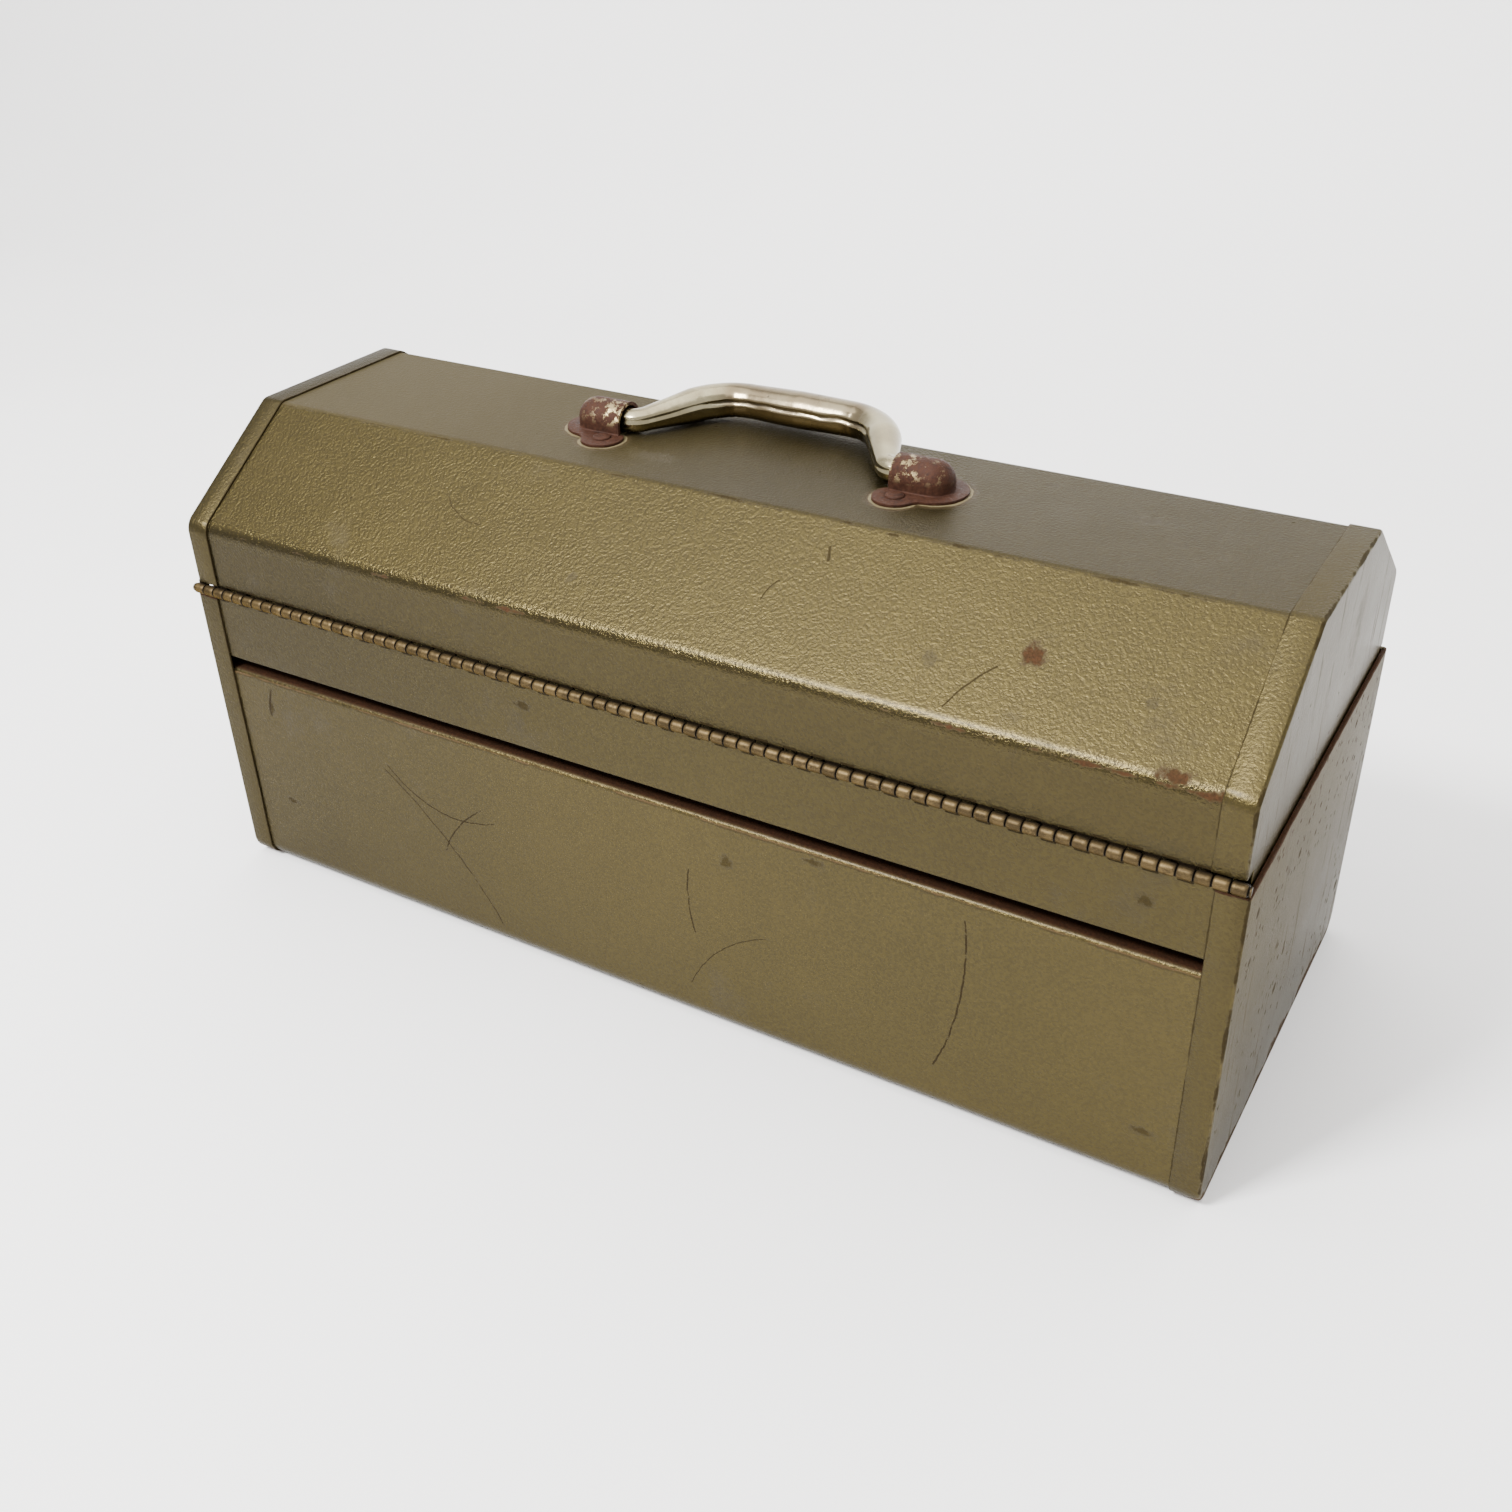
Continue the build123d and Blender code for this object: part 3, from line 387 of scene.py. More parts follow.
def build_specks():
    """Small dark chips and dirt specks: Share of the squares that are Spacing wide hold one."""
    g, given, out = shader_group("Specks", "Mask", Spacing=20 * MM, Share=0.3, Size=1 * MM)
    place, spacing = given["Place"], given["Spacing"]
    ragged = g.node("ShaderNodeTexNoise", Vector=place, Scale=600.0, Detail=2.0).outputs["Color"]
    moved = g.vector("ADD", place, g.vector("SCALE", ragged, 1.5 * MM))
    cells = g.node(
        "ShaderNodeTexVoronoi", {"feature": "F1"}, Vector=moved, Scale=g.over(1.0, spacing)
    ).outputs
    pick = g.split(cells["Color"])
    size = g.over(g.times(given["Size"], g.plus(0.3, pick["Y"])), spacing)
    chosen = g.math("LESS_THAN", pick["X"], given["Share"])
    g.put(out["Mask"], g.times(chosen, g.step(g.over(cells["Distance"], size), 1.0, 0.5)))


def build_scratch():
    """One thin scratch from a start to an end point in the U-V plane, bowed sideways."""
    points = {"Start": (0, 0, 0), "End": (0, 0, 0)}
    g, given, out = shader_group("Scratch", "Mask", **points, Bow=0.0, Width=0.3 * MM)
    place = given["Place"]
    ax, ay, _ = g.split(g.vector("SUBTRACT", given["End"], given["Start"]))
    px, py, _ = g.split(g.vector("SUBTRACT", place, given["Start"]))
    square = g.plus(g.times(ax, ax), g.times(ay, ay))
    share = g.over(g.plus(g.times(px, ax), g.times(py, ay)), square)
    side = g.over(g.minus(g.times(py, ax), g.times(px, ay)), g.math("SQRT", square))
    arch = g.times(given["Bow"], 4.0, share, g.minus(1.0, share))
    shiver = g.scaled(g.noise(place, 120.0), 2.0 * MM, -1.0 * MM)
    off = g.abs(g.minus(side, g.plus(arch, shiver)))
    line = g.step(g.over(off, given["Width"]), 1.0, 0.4)
    worn = g.step(g.noise(place, 260.0, 3.0), 0.26, 0.46)
    g.put(out["Mask"], g.times(line, g.within(share, 0.02, 0.98, 0.03), worn))


def build_blot():
    """One stain with a ragged edge round a point in the U-V plane."""
    g, given, out = shader_group("Blot", "Mask", Centre=(0, 0, 0), Size=(0.01, 0.01, 1.0))
    shift = g.vector("DIVIDE", g.vector("SUBTRACT", given["Place"], given["Centre"]), given["Size"])
    ragged = g.noise(given["Place"], 330.0, 6.0, 0.75)
    g.put(out["Mask"], g.step(g.scaled(ragged, 2.4, g.vector("LENGTH", shift)), 2.15, 1.55))


SHADER_GROUPS = (build_hammered, build_patches, build_line_wear, build_specks, build_scratch, build_blot)


# ---- Materials ------------------------------------------------------------------------


def new_material(name):
    """A material, its graph and the piece's own coordinates."""
    material = bpy.data.materials.new(name)
    material.use_nodes = True
    graph = Graph(material.node_tree)
    return material, graph, graph.node("ShaderNodeTexCoord").outputs["Object"]


def finish(material, g, height=None, **inputs):
    """Sets the shader's inputs, and its normal from a height in metres."""
    shader = material.node_tree.nodes["Principled BSDF"]
    g.fill(shader, inputs)
    if height is not None:
        g.put(shader.inputs["Normal"], g.output("ShaderNodeBump", Height=height, Distance=1.0))
    return material


def line_wear(g, at, off, width, amount):
    """Wear beside the line where off is 0, with its width in millimetres."""
    return g.place("Line wear", Place=at, Off=off, Width=width * MM, Amount=amount)["Mask"]


def specks(g, at, spacing, share, size):
    """Specks of a size and spacing in millimetres."""
    return g.place("Specks", Place=at, Spacing=spacing * MM, Share=share, Size=size * MM)["Mask"]


def ragged_patches(g, at, size, cover):
    """A mask and a grain of blotches, with their size in millimetres."""
    return g.place("Ragged patches", Place=at, Size=size * MM, Cover=cover)


class Wear:
    """Gathers the masks of each kind of wear, and of painted shade and painted sheen, on a piece."""

    KINDS = ("grime_and_shade", "rust", "worn", "dust_and_sheen", "painted_shade", "pale", "smooth")

    def __init__(self, graph):
        self.graph = graph
        self.masks = {kind: [] for kind in self.KINDS}

    def add(self, kind, *factors):
        """One more mask, the product of its factors."""
        self.masks[kind].append(self.graph.times(*factors))

    def totals(self):
        """Each kind's strongest mask."""
        return [self.graph.most(*masks) if masks else 0.0 for masks in self.masks.values()]


def enamel(name, settings, marks, cleaner=0.0, texture=1.0):
    """Hammered enamel. The marks function adds a piece's own grime, rust and worn places, with painted shade and
    painted sheen.
    """
    material, g, at = new_material(name)
    hammered = g.place("Hammered", Place=at, Cell=settings.cell, Depth=settings.depth * texture)
    tone = g.scaled(g.noise(at, 60.0, 4.0, 0.6), 0.25, g.times(g.noise(at, 7.0, 3.0), 0.8))
    wear = Wear(g)
    wear.add("grime_and_shade", specks(g, at, 17, 0.22 - cleaner, 1.0))
    wear.add("grime_and_shade", g.step(g.noise(at, 26.0, 5.0, 0.65), 0.58, 0.80), 0.25)
    marks(g, at, g.split(at), wear)
    grime_and_shade, rust, worn, dust_and_sheen, painted_shade, pale, smooth = wear.totals()
    grain = g.step(ragged_patches(g, at, 9, 0.3)["Grain"], 0.35, 0.7)
    colour = g.mix(g.step(tone, 0.35, 0.75), settings.shade, settings.base)
    for factor, tint in (
        (g.times(hammered["Rim"], 0.35), settings.fleck),
        # painted shade: the enamel darkened towards black where less light falls
        (painted_shade, (0, 0, 0, 1)),
        # dust, with a painted sheen on the lid's top towards +X
        (g.times(dust_and_sheen, 0.5), settings.dust_and_sheen),
        (worn, settings.worn),
        (pale, settings.halo),
        (rust, g.mix(grain, settings.rust, settings.light_rust)),
        # grime, and painted shade in the groove and at the hinge's notches
        (g.times(grime_and_shade, 0.85), settings.grime_and_shade),
    ):
        colour = g.mix(factor, colour, tint)
    spoiled = g.math("MINIMUM", g.times(g.most(grime_and_shade, rust), 1.7), 1.0)
    gloss = g.blend(smooth, g.scaled(g.noise(at, 50.0, 4.0), 0.12, 0.27), 0.17)
    wave = g.times(g.noise(at, 11.0, 2.0), 0.9 * MM)
    return finish(
        material, g,
        g.minus(g.plus(hammered["Height"], wave), g.times(spoiled, 0.06 * MM)),
        Base_Color=colour,
        Metallic=g.blend(spoiled, 0.9, 0.0),
        Roughness=g.blend(g.most(spoiled, dust_and_sheen), gloss, 0.75),
        Specular_IOR_Level=g.blend(spoiled, 0.5, 0.08),
        Specular_Tint=(0.54, 0.54, 0.54, 1),
        Coat_Weight=g.blend(spoiled, 0.1, 0.0),
        Coat_Roughness=0.28,
    )


def scratches(g, plane, lines):
    """A mask of several scratches, each (start, end, bow, width) in millimetres."""
    drawn = []
    for start, end, bow, width in lines:
        ends = {"Start": (*[v * MM for v in start], 0), "End": (*[v * MM for v in end], 0)}
        drawn.append(g.place("Scratch", Place=plane, **ends, Bow=bow * MM, Width=width * MM)["Mask"])
    return g.most(*drawn)


def blots(g, plane, stains):
    """A mask of several stains, each (centre, size) in millimetres."""
    drawn = []
    for centre, (wide, high) in stains:
        middle, size = (*[v * MM for v in centre], 0), (wide * MM, high * MM, 1)
        drawn.append(g.place("Blot", Place=plane, Centre=middle, Size=size)["Mask"])
    return g.most(*drawn)


BACK_SCRATCHES = (
    ((148, 86), (85, 72), 11, 0.5),
    ((150, 83), (87, 12), -5, 0.5),
    ((118, 46), (92, 77), -3, 0.5),
    ((-22, 84), (-24, 50), 2, 0.5),
    ((-150, 104), (-139, 24), -5, 0.6),
    ((10, 8), (-66, 5), 2, 0.4),
    ((218, 108), (221, 92), 1, 0.9),
    ((-60, 60), (-20, 20), 6, 0.3),
)
BACK_STAINS = (
    ((-41, 94), (4, 5)),
    ((220, 97), (2.5, 7)),
    ((219, 43), (5, 2.5)),
    ((-83, 108), (7, 2.5)),
    ((-218, 138), (5, 4)),
    ((-228, 30), (7, 3)),
    ((60, 142), (6, 3)),
)
SLOPE_SCRATCHES = (
    ((-148, 204), (-134, 192), 1, 0.4),
    ((-64, 223), (-66, 219), 0, 0.7),
    ((-50, 212), (-46, 206), 1, 0.4),
    ((120, 214), (96, 208), 2, 0.25),
)
SLOPE_RUST = (((-159, 208.5), (5.5, 4)), ((-222, 190), (8, 2.5)), ((-242, 189), (5, 2.5)))
SLOPE_STAINS = (((-122, 202), (4, 3)), ((40, 200), (3, 2)), ((-206, 204), (3, 2)))
ROOF_STAINS = (((-170, -12), (9, 5)), ((-188, 5), (6, 3)), ((-123, -28), (5, 3)), ((40, 20), (14, 6)))
ROOF_DASHES = (((-114, 43), (7, 1)), ((-87, 44), (4, 0.8)), ((-10, 43), (12, 0.9)), ((-66, 43), (4, 0.8)))


def seam_grime(g, at, side, seam, wear, amount):
    """A dark line where the end cap's flange ends on the wrapped sheet."""
    wear.add("grime_and_shade", line_wear(g, at, g.minus(side, seam), 0.7, amount), 0.6)


def behind(g, y):
    """1 on the back half of the box."""
    return g.step(y, 0.0, 10 * MM)


def knuckle_shadows(g, x, y, z, edge, first, wear):
    """Painted shade on the back wall's edge: a dark notch above or below every second knuckle, where the barrel
    leaves shade.
    """
    pitch = hinge_pitch(bpy.context.scene.toolbox_hinge)
    share = g.math("FRACT", g.over(g.plus(x, hinge_end()), 2 * pitch))
    across = g.within(share, 0.5 * first + 0.02, 0.5 * first + 0.48, 0.01)
    off = g.abs(g.minus(z, edge))
    # Painted shade at the notches, beside the knuckle barrel.
    wear.add("grime_and_shade", across, behind(g, y), g.step(off, 0.9 * MM, 0.5 * MM), 0.85)


def body_marks(g, at, place, wear):
    """The body's seams, its groove and the marks on its back, with painted shade in the groove, at the notches
    under every second knuckle and over the walls.
    """
    x, y, z = place
    side, depth = g.abs(x), g.abs(y)
    seam_grime(g, at, side, BODY_FLANGE.x, wear, 0.35)
    outside = g.step(depth, WALL - 0.6 * MM, WALL - 0.2 * MM)
    back = g.times(outside, behind(g, y))
    plane = g.combine(x, z)
    wear.add("grime_and_shade", scratches(g, plane, BACK_SCRATCHES), back, 0.95)
    wear.add("grime_and_shade", blots(g, plane, BACK_STAINS), back, 0.6)
    in_groove = g.times(
        g.step(depth, WALL - 0.6 * MM, WALL - 2.5 * MM),
        g.within(z, GROOVE_LOW - 1.2 * MM, GROOVE_TOP + 1.2 * MM, 0.3 * MM),
    )
    # Painted shade darkens the groove's recess; rust lies in it as well.
    wear.add("grime_and_shade", in_groove, g.blend(g.noise(at, 70.0), 0.35, 1.0))
    wear.add("rust", in_groove)
    wear.add("worn", line_wear(g, at, g.minus(z, GROOVE_LOW - 0.6 * MM), 1.2, 1.0), outside)
    under_lip = line_wear(g, at, g.minus(z, GROOVE_LOW - 2.4 * MM), 1.0, 0.25)
    wear.add("grime_and_shade", under_lip, outside, 0.5)
    wear.add("grime_and_shade", line_wear(g, at, z, 4, 0.6), 0.55, g.step(depth, WALL - 9 * MM, WALL - 6 * MM))
    # Painted shade: the walls darker, most above the groove and towards +X.
    painted_shade_amount = g.scaled(g.step(z, GROOVE_LOW, GROOVE_TOP), 0.16, 0.12)
    wear.add("painted_shade", g.scaled(g.step(x, -40 * MM, 230 * MM), 0.2, painted_shade_amount))
    knuckle_shadows(g, x, y, z, RIM - 0.4 * MM, 1, wear)


def lid_marks(g, at, place, wear):
    """The lid's seams, its rubbed folds, the rust spots and the dusty top, with painted shade over the walls and
    the top and at the notches above every second knuckle, and a painted sheen in the dust towards +X.
    """
    x, y, z = place
    side, depth, back = g.abs(x), g.abs(y), behind(g, y)
    seam_grime(g, at, side, LID_FLANGE.x, wear, 0.2)
    eave = g.minus(z, EAVE - 1.0 * MM)
    busy = g.scaled(g.step(x, -90 * MM, -240 * MM), 0.7, -0.3)
    wear.add("rust", line_wear(g, at, eave, 2.6, busy), 0.75)
    wear.add("smooth", g.step(g.abs(g.plus(eave, 0.5 * MM)), 6 * MM, 1 * MM), back)
    crest = g.step(z, ROOF - 2.5 * MM, ROOF - 1.5 * MM)
    top_fold = line_wear(g, at, g.minus(depth, ROOF_EDGE + 1 * MM), 1.6, -0.1)
    wear.add("grime_and_shade", top_fold, crest, 0.6)
    slope, over = g.combine(x, z), g.combine(x, y)
    wear.add("grime_and_shade", scratches(g, slope, SLOPE_SCRATCHES), back, 0.7)
    wear.add("grime_and_shade", blots(g, slope, SLOPE_STAINS), back, 0.24)
    wear.add("rust", blots(g, slope, SLOPE_RUST), back, 0.75)
    wear.add("grime_and_shade", blots(g, over, ROOF_DASHES), crest, 0.7)
    wear.add("grime_and_shade", blots(g, over, ROOF_STAINS), crest, 0.3)
    flat = g.step(z, ROOF - 0.7 * MM, ROOF - 0.2 * MM)
    # Painted sheen: more of the paler dust towards +X lightens that end of the top.
    dust_and_sheen_drift = g.scaled(g.step(x, -60 * MM, 200 * MM), 1.5, 0.03)
    wear.add("dust_and_sheen", flat, dust_and_sheen_drift, g.blend(g.noise(at, 14.0, 5.0), 0.7, 1.0))
    # Painted shade: the walls, slopes and top darkened by different amounts, the walls most and the top least
    # towards +X.
    wall = g.step(z, EAVE + 2 * MM, EAVE - 2 * MM)
    far = g.step(x, 0.0, 230 * MM)
    painted_shade_amount = g.blend(wall, 0.2, g.scaled(far, 0.16, 0.34))
    painted_shade_amount = g.blend(flat, painted_shade_amount, g.scaled(g.step(x, 200 * MM, -20 * MM), 0.22, 0.16))
    wear.add("painted_shade", g.minus(painted_shade_amount, g.times(g.blend(wall, far, 0.0), 0.12)))
    round_bracket(g, at, side, depth, flat, wear)
    knuckle_shadows(g, x, y, z, LID_EDGE + 0.4 * MM, 0, wear)


def round_bracket(g, at, side, depth, flat, wear):
    """The pale halo and the rust stain on the enamel round each handle bracket."""
    here = g.combine(side, depth)
    ear = g.minus(g.vector("DISTANCE", here, (*EAR, 0)), EAR_RADIUS)
    tail = g.minus(g.vector("DISTANCE", here, (*DOME, 0)), TAIL_RADIUS)
    shaky = g.scaled(g.noise(at, 160.0, 4.0), 2.4 * MM, -1.2 * MM)
    off = g.plus(g.math("MINIMUM", ear, tail), shaky)
    wear.add("pale", g.within(off, 0.1 * MM, 1.1 * MM, 0.4 * MM), flat, 0.7)
    wear.add("rust", g.step(off, 5.0 * MM, 0.5 * MM), flat, 0.35)


def cap_outline(g, side, z, gable):
    """How far a point is outside an end cap's outline, negative inside it."""
    wall = g.minus(side, BODY_CORNER.y)
    if not gable:
        return g.most(wall, g.times(z, -1.0))
    out, up = math.sin(SLOPE), math.cos(SLOPE)
    slope = g.minus(g.plus(g.times(side, out), g.times(z, up)), out * WALL + up * EAVE + SHEET)
    return g.most(wall, slope, g.minus(z, ROOF + SHEET))


def cap_marks(gable):
    """Marks for an end cap: worn folds, a dirty rim, specks and streaks on the panel, and painted shade darkening
    the flanges, more towards +X.
    """
    corner = LID_CORNER if gable else BODY_CORNER
    flange = LID_FLANGE if gable else BODY_FLANGE
    share = 0.25 if gable else 0.55

    def marks(g, at, place, wear):
        x, y, z = place
        side = g.abs(x)
        # Painted shade: the flanges darker, more towards +X.
        painted_shade_amount = g.scaled(g.step(x, 0.0, 240 * MM), 0.13, 0.27)
        wear.add("painted_shade", g.step(side, corner.x - 0.3 * MM, corner.x - 1.5 * MM), painted_shade_amount)
        fold = g.minus(g.minus(corner.x, side), cap_outline(g, g.abs(y), z, gable))
        wear.add("grime_and_shade", line_wear(g, at, fold, 1.0, 1.0), 0.85)
        wear.add("grime_and_shade", line_wear(g, at, g.minus(side, flange.x), 0.6, 0.5), 0.7)
        panel = g.step(side, corner.x - 0.9 * MM, corner.x - 0.3 * MM)
        crowd = g.step(g.scaled(z, 1.6, g.noise(at, 16.0, 3.0)), 0.50, 0.66)
        both_sizes = g.most(specks(g, at, 13, share, 2.8), specks(g, at, 5, share, 1.4))
        wear.add("grime_and_shade", both_sizes, crowd, panel, 0.75)
        runs = g.streaks(at, (1.0, 9.0, 1.0), 22.0, 5.0, 0.7)
        wear.add("rust", g.step(runs, 0.56, 0.72), panel, 0.4)
        if not gable:
            wear.add("rust", line_wear(g, at, g.minus(z, RIM), 1.1, 0.8), 0.85)
            wear.add("rust", line_wear(g, at, z, 6, 0.9), 0.7)

    return marks


def tray_marks(g, at, place, wear):
    """Scuffs and dust inside the tray."""
    scuffs = g.streaks(at, (1.0, 6.0, 6.0), 40.0, 5.0, 0.7)
    wear.add("grime_and_shade", g.step(scuffs, 0.60, 0.72), 0.5)
    wear.add("dust_and_sheen", g.step(g.noise(at, 18.0, 5.0), 0.4, 0.7))


def knuckle_steel(settings):
    """Hinge steel, painted over and rubbed through on the crests, with painted shade, black, between the knuckles
    and on their side towards the box.
    """
    material, g, at = new_material("Painted hinge steel")
    x, y, _ = g.split(at)
    patches = ragged_patches(g, at, 6, 0.55)
    pitch = hinge_pitch(settings)
    along = g.over(g.plus(x, hinge_end()), pitch)
    share = g.math("FRACT", along)
    near_gap = g.times(g.math("MINIMUM", share, g.minus(1.0, share)), pitch)
    lot = g.output("ShaderNodeTexWhiteNoise", {"noise_dimensions": "1D"}, W=g.math("FLOOR", along))
    colour = g.mix(patches["Grain"], settings.paint, settings.light_paint)
    colour = g.mix(g.times(patches["Mask"], 0.55), colour, settings.rubbed)
    colour = g.mix(g.times(lot, 0.45), colour, settings.dark_paint)
    # Painted shade on the knuckles' side towards the box and in the gaps between them.
    inner = g.step(y, HINGE.y + 1.0 * MM, HINGE.y - 0.6 * MM)
    dirt_and_shade = g.most(g.times(g.step(near_gap, 0.65 * MM, 0.3 * MM), 0.95), g.times(inner, 0.9))
    dark = g.most(dirt_and_shade, g.times(specks(g, at, 5, 0.4, 0.8), 0.7))
    return finish(
        material, g,
        g.times(g.noise(at, 700.0, 4.0), 0.08 * MM),
        Base_Color=g.mix(dark, colour, settings.dirt_and_shade),
        Metallic=g.blend(dirt_and_shade, 0.95, 0.1),
        Roughness=g.scaled(patches["Grain"], 0.3, 0.34),
        Specular_IOR_Level=g.blend(dirt_and_shade, 0.5, 0.1),
        Specular_Tint=(0.5, 0.45, 0.35, 1),
    )


def dull_nickel(settings):
    """Dull nickel with pits and a brown tarnish in patches, painted shade in the open seam and a painted brown
    reflection on the grip's camera-facing half.
    """
    material, g, at = new_material("Dull nickel")
    x, y, _ = g.split(at)
    patches = ragged_patches(g, at, 14, 0.30)["Mask"]
    clouds = g.step(g.noise(at, 55.0, 5.0, 0.6), 0.3, 0.7)
    on_grip = g.step(g.abs(x), 40 * MM, 32 * MM)
    facing = g.step(y, PIVOT.y - 43 * MM, PIVOT.y - 38 * MM)
    # Painted reflection: a brown band on the grip's camera-facing half.
    reflection_band = g.times(on_grip, facing, g.blend(g.noise(at, 60.0, 5.0), 0.35, 1.0))
    seam = g.node("ShaderNodeAttribute", {"attribute_name": "seam"}).outputs["Fac"]
    # Painted shade: the open seam darkened as a gap into the tube.
    seam_shade = g.step(g.plus(seam, g.times(g.noise(at, 400.0), 0.5)), 0.75, 1.05)
    pits_and_seam_shade = g.most(specks(g, at, 4.5, 0.30, 0.55), seam_shade)
    colour = g.mix(clouds, settings.dark_nickel, settings.nickel)
    colour = g.mix(g.times(patches, 0.35), colour, settings.tarnish)
    colour = g.mix(g.times(reflection_band, 0.85), colour, settings.reflected_brown)
    gloss = g.scaled(g.streaks(at, (1.0, 3.0, 3.0), 90.0, 5.0, 0.6), 0.22, 0.10)
    return finish(
        material, g,
        g.minus(g.times(g.noise(at, 130.0, 3.0), 0.12 * MM), g.times(pits_and_seam_shade, 0.08 * MM)),
        Base_Color=g.mix(g.times(pits_and_seam_shade, 0.85), colour, settings.pit_and_seam_shade),
        Metallic=g.blend(pits_and_seam_shade, 1.0, 0.2),
        Roughness=g.blend(g.most(pits_and_seam_shade, g.times(patches, 0.5)), gloss, 0.55),
        Specular_IOR_Level=g.blend(pits_and_seam_shade, 0.5, 0.1),
    )


def rusty_bracket(settings):
    """Brackets rusted all over, with plating left on the domes."""
    material, g, at = new_material("Rusty bracket")
    x, y, z = g.split(at)
    grain = g.step(ragged_patches(g, at, 10, 0.5)["Grain"], 0.3, 0.7)
    colour = g.mix(grain, settings.rust, settings.light_rust)
    colour = g.mix(g.times(g.step(g.noise(at, 180.0, 5.0), 0.55, 0.75), 0.8), colour, settings.dark_rust)
    high = g.step(z, ROOF + 4.0 * MM, ROOF + 8.0 * MM)
    mouth = g.step(g.abs(x), DOME.x - 1 * MM, DOME.x - 9 * MM)
    slanted = g.step(y, -4.0 * MM, 2.0 * MM)
    left_over = ragged_patches(g, at, 4, 0.46)["Mask"]
    plating = g.times(left_over, high, slanted, g.scaled(mouth, 0.8, 0.2))
    rough = g.times(g.noise(at, 420.0, 6.0, 0.7), 0.35 * MM)
    return finish(
        material, g,
        g.plus(rough, g.times(plating, 0.06 * MM)),
        Base_Color=g.mix(plating, colour, settings.old_plating),
        Metallic=g.blend(plating, 0.3, 1.0),
        Roughness=g.blend(plating, g.scaled(grain, 0.25, 0.5), 0.3),
        Specular_IOR_Level=g.blend(plating, 0.15, 0.5),
    )


def plated_steel(name, settings, tarnish, cover):
    """Zinc or nickel plating with tarnish clouds, rust freckles and fine handling marks."""
    material, g, at = new_material(name)
    clouds = g.step(g.noise(at, 45.0, 5.0, 0.6), 0.3, 0.7)
    patches = ragged_patches(g, at, 9, cover)["Mask"]
    rust = g.most(g.times(patches, 0.7), g.times(specks(g, at, 4, 0.35, 0.8), 0.8))
    brushed = g.streaks(at, (1.0, 1.0, 8.0), 150.0, 4.0)
    return finish(
        material, g,
        g.times(g.most(rust, g.times(brushed, 0.2)), 0.05 * MM),
        Base_Color=g.mix(rust, g.mix(clouds, srgb(tarnish), settings.plating), settings.freckle),
        Metallic=g.blend(rust, 0.95, 0.15),
        Roughness=g.blend(rust, g.scaled(brushed, 0.25, 0.2), 0.7),
    )


# ---- Meshes ---------------------------------------------------------------------------


def smooth(mesh, angle=180):
    """Shades the faces smooth, except over edges sharper than an angle in degrees."""
    mesh.polygons.foreach_set("use_smooth", [True] * len(mesh.polygons))
    if angle < 180:
        mesh.set_sharp_from_angle(angle=math.radians(angle))


def add_piece(name, mesh, slot, *replaced):
    """A finished piece that stands for CAD nodes and rides on their body."""
    piece = bpy.data.objects.new(name, mesh)
    bpy.context.collection.objects.link(piece)
    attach(piece, BODY_OF[replaced[0]])
    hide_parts(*replaced)
    return piece


def softened(node, width, material, slot):
    """A copy of a CAD node with its sharp edges rounded, in the node's place."""
    made = bmesh.new()
    made.from_mesh(frame["nodes"][node].data)
    bmesh.ops.remove_doubles(made, verts=made.verts, dist=0.002 * MM)
    bmesh.ops.dissolve_limit(made, angle_limit=math.radians(1), verts=made.verts, edges=made.edges)
    mesh = bpy.data.meshes.new(f"{node}_finished")
    made.to_mesh(mesh)
    made.free()
    smooth(mesh)
    mesh.materials.append(material)
    piece = add_piece(f"{node}_finished", mesh, slot, node)
    rounding = piece.modifiers.new("Rounded edges", "BEVEL")
    rounding.width = width
    rounding.segments = 2
    rounding.limit_method = "ANGLE"
    rounding.angle_limit = math.radians(35)
    rounding.harden_normals = True
    return piece


def paint(material, *nodes):
    """Gives CAD nodes a material."""
    for name in nodes:
        frame["nodes"][name].material_slots[0].material = material


def both(name):
    """The names of a pair of nodes."""
    return f"{name}_left", f"{name}_right"


def grown(name, tree, points, values, material):
    """A plain mesh made by a Geometry Nodes tree on a mesh of points."""
    mesh = bpy.data.meshes.new(name)
    mesh.from_pydata(points, [], [])
    seed = bpy.data.objects.new(name, mesh)
    bpy.context.collection.objects.link(seed)
    modifier = seed.modifiers.new(tree.name, "NODES")
    modifier.node_group = tree
    sockets = {
        item.name: item.identifier
        for item in tree.interface.items_tree
        if item.item_type == "SOCKET" and item.in_out == "INPUT"
    }
    for label, value in {**values, "Material": material}.items():
        modifier[sockets[label]] = value
    evaluated = seed.evaluated_get(bpy.context.evaluated_depsgraph_get())
    result = bpy.data.meshes.new_from_object(evaluated)
    seed.modifiers.remove(modifier)
    bpy.data.objects.remove(seed)
    bpy.data.meshes.remove(mesh)
    result.name = name
    return result


def geometry_tree(name, inputs):
    """A Geometry Nodes tree that grows a shape from points and a material."""
    given = {"Geometry": None, **inputs, "Material": None}
    return new_tree("GeometryNodeTree", name, given, ["Geometry"])


def turned(g, axis, length, radius, edge, sharpness, sides, rings):
    """A turned shape along an axis, centred on the origin, drawn in by edge at both ends."""
    half = g.vector("SCALE", axis, g.times(length, 0.5))
    line = g.output("GeometryNodeCurvePrimitiveLine", Start=g.vector("SCALE", half, -1.0), End=half)
    line = g.output("GeometryNodeResampleCurve", Curve=line, Count=rings)
    out = g.abs(g.scaled(g.output("GeometryNodeSplineParameter"), 2.0, -1.0))
    drop = g.minus(1.0, g.math("SQRT", g.minus(1.001, g.math("POWER", out, sharpness))))
    size = g.minus(radius, g.times(edge, drop))
    ring = g.output("GeometryNodeCurvePrimitiveCircle", Resolution=sides)
    return g.output(
        "GeometryNodeCurveToMesh", Curve=line, Profile_Curve=ring, Scale=size, Fill_Caps=True
    )


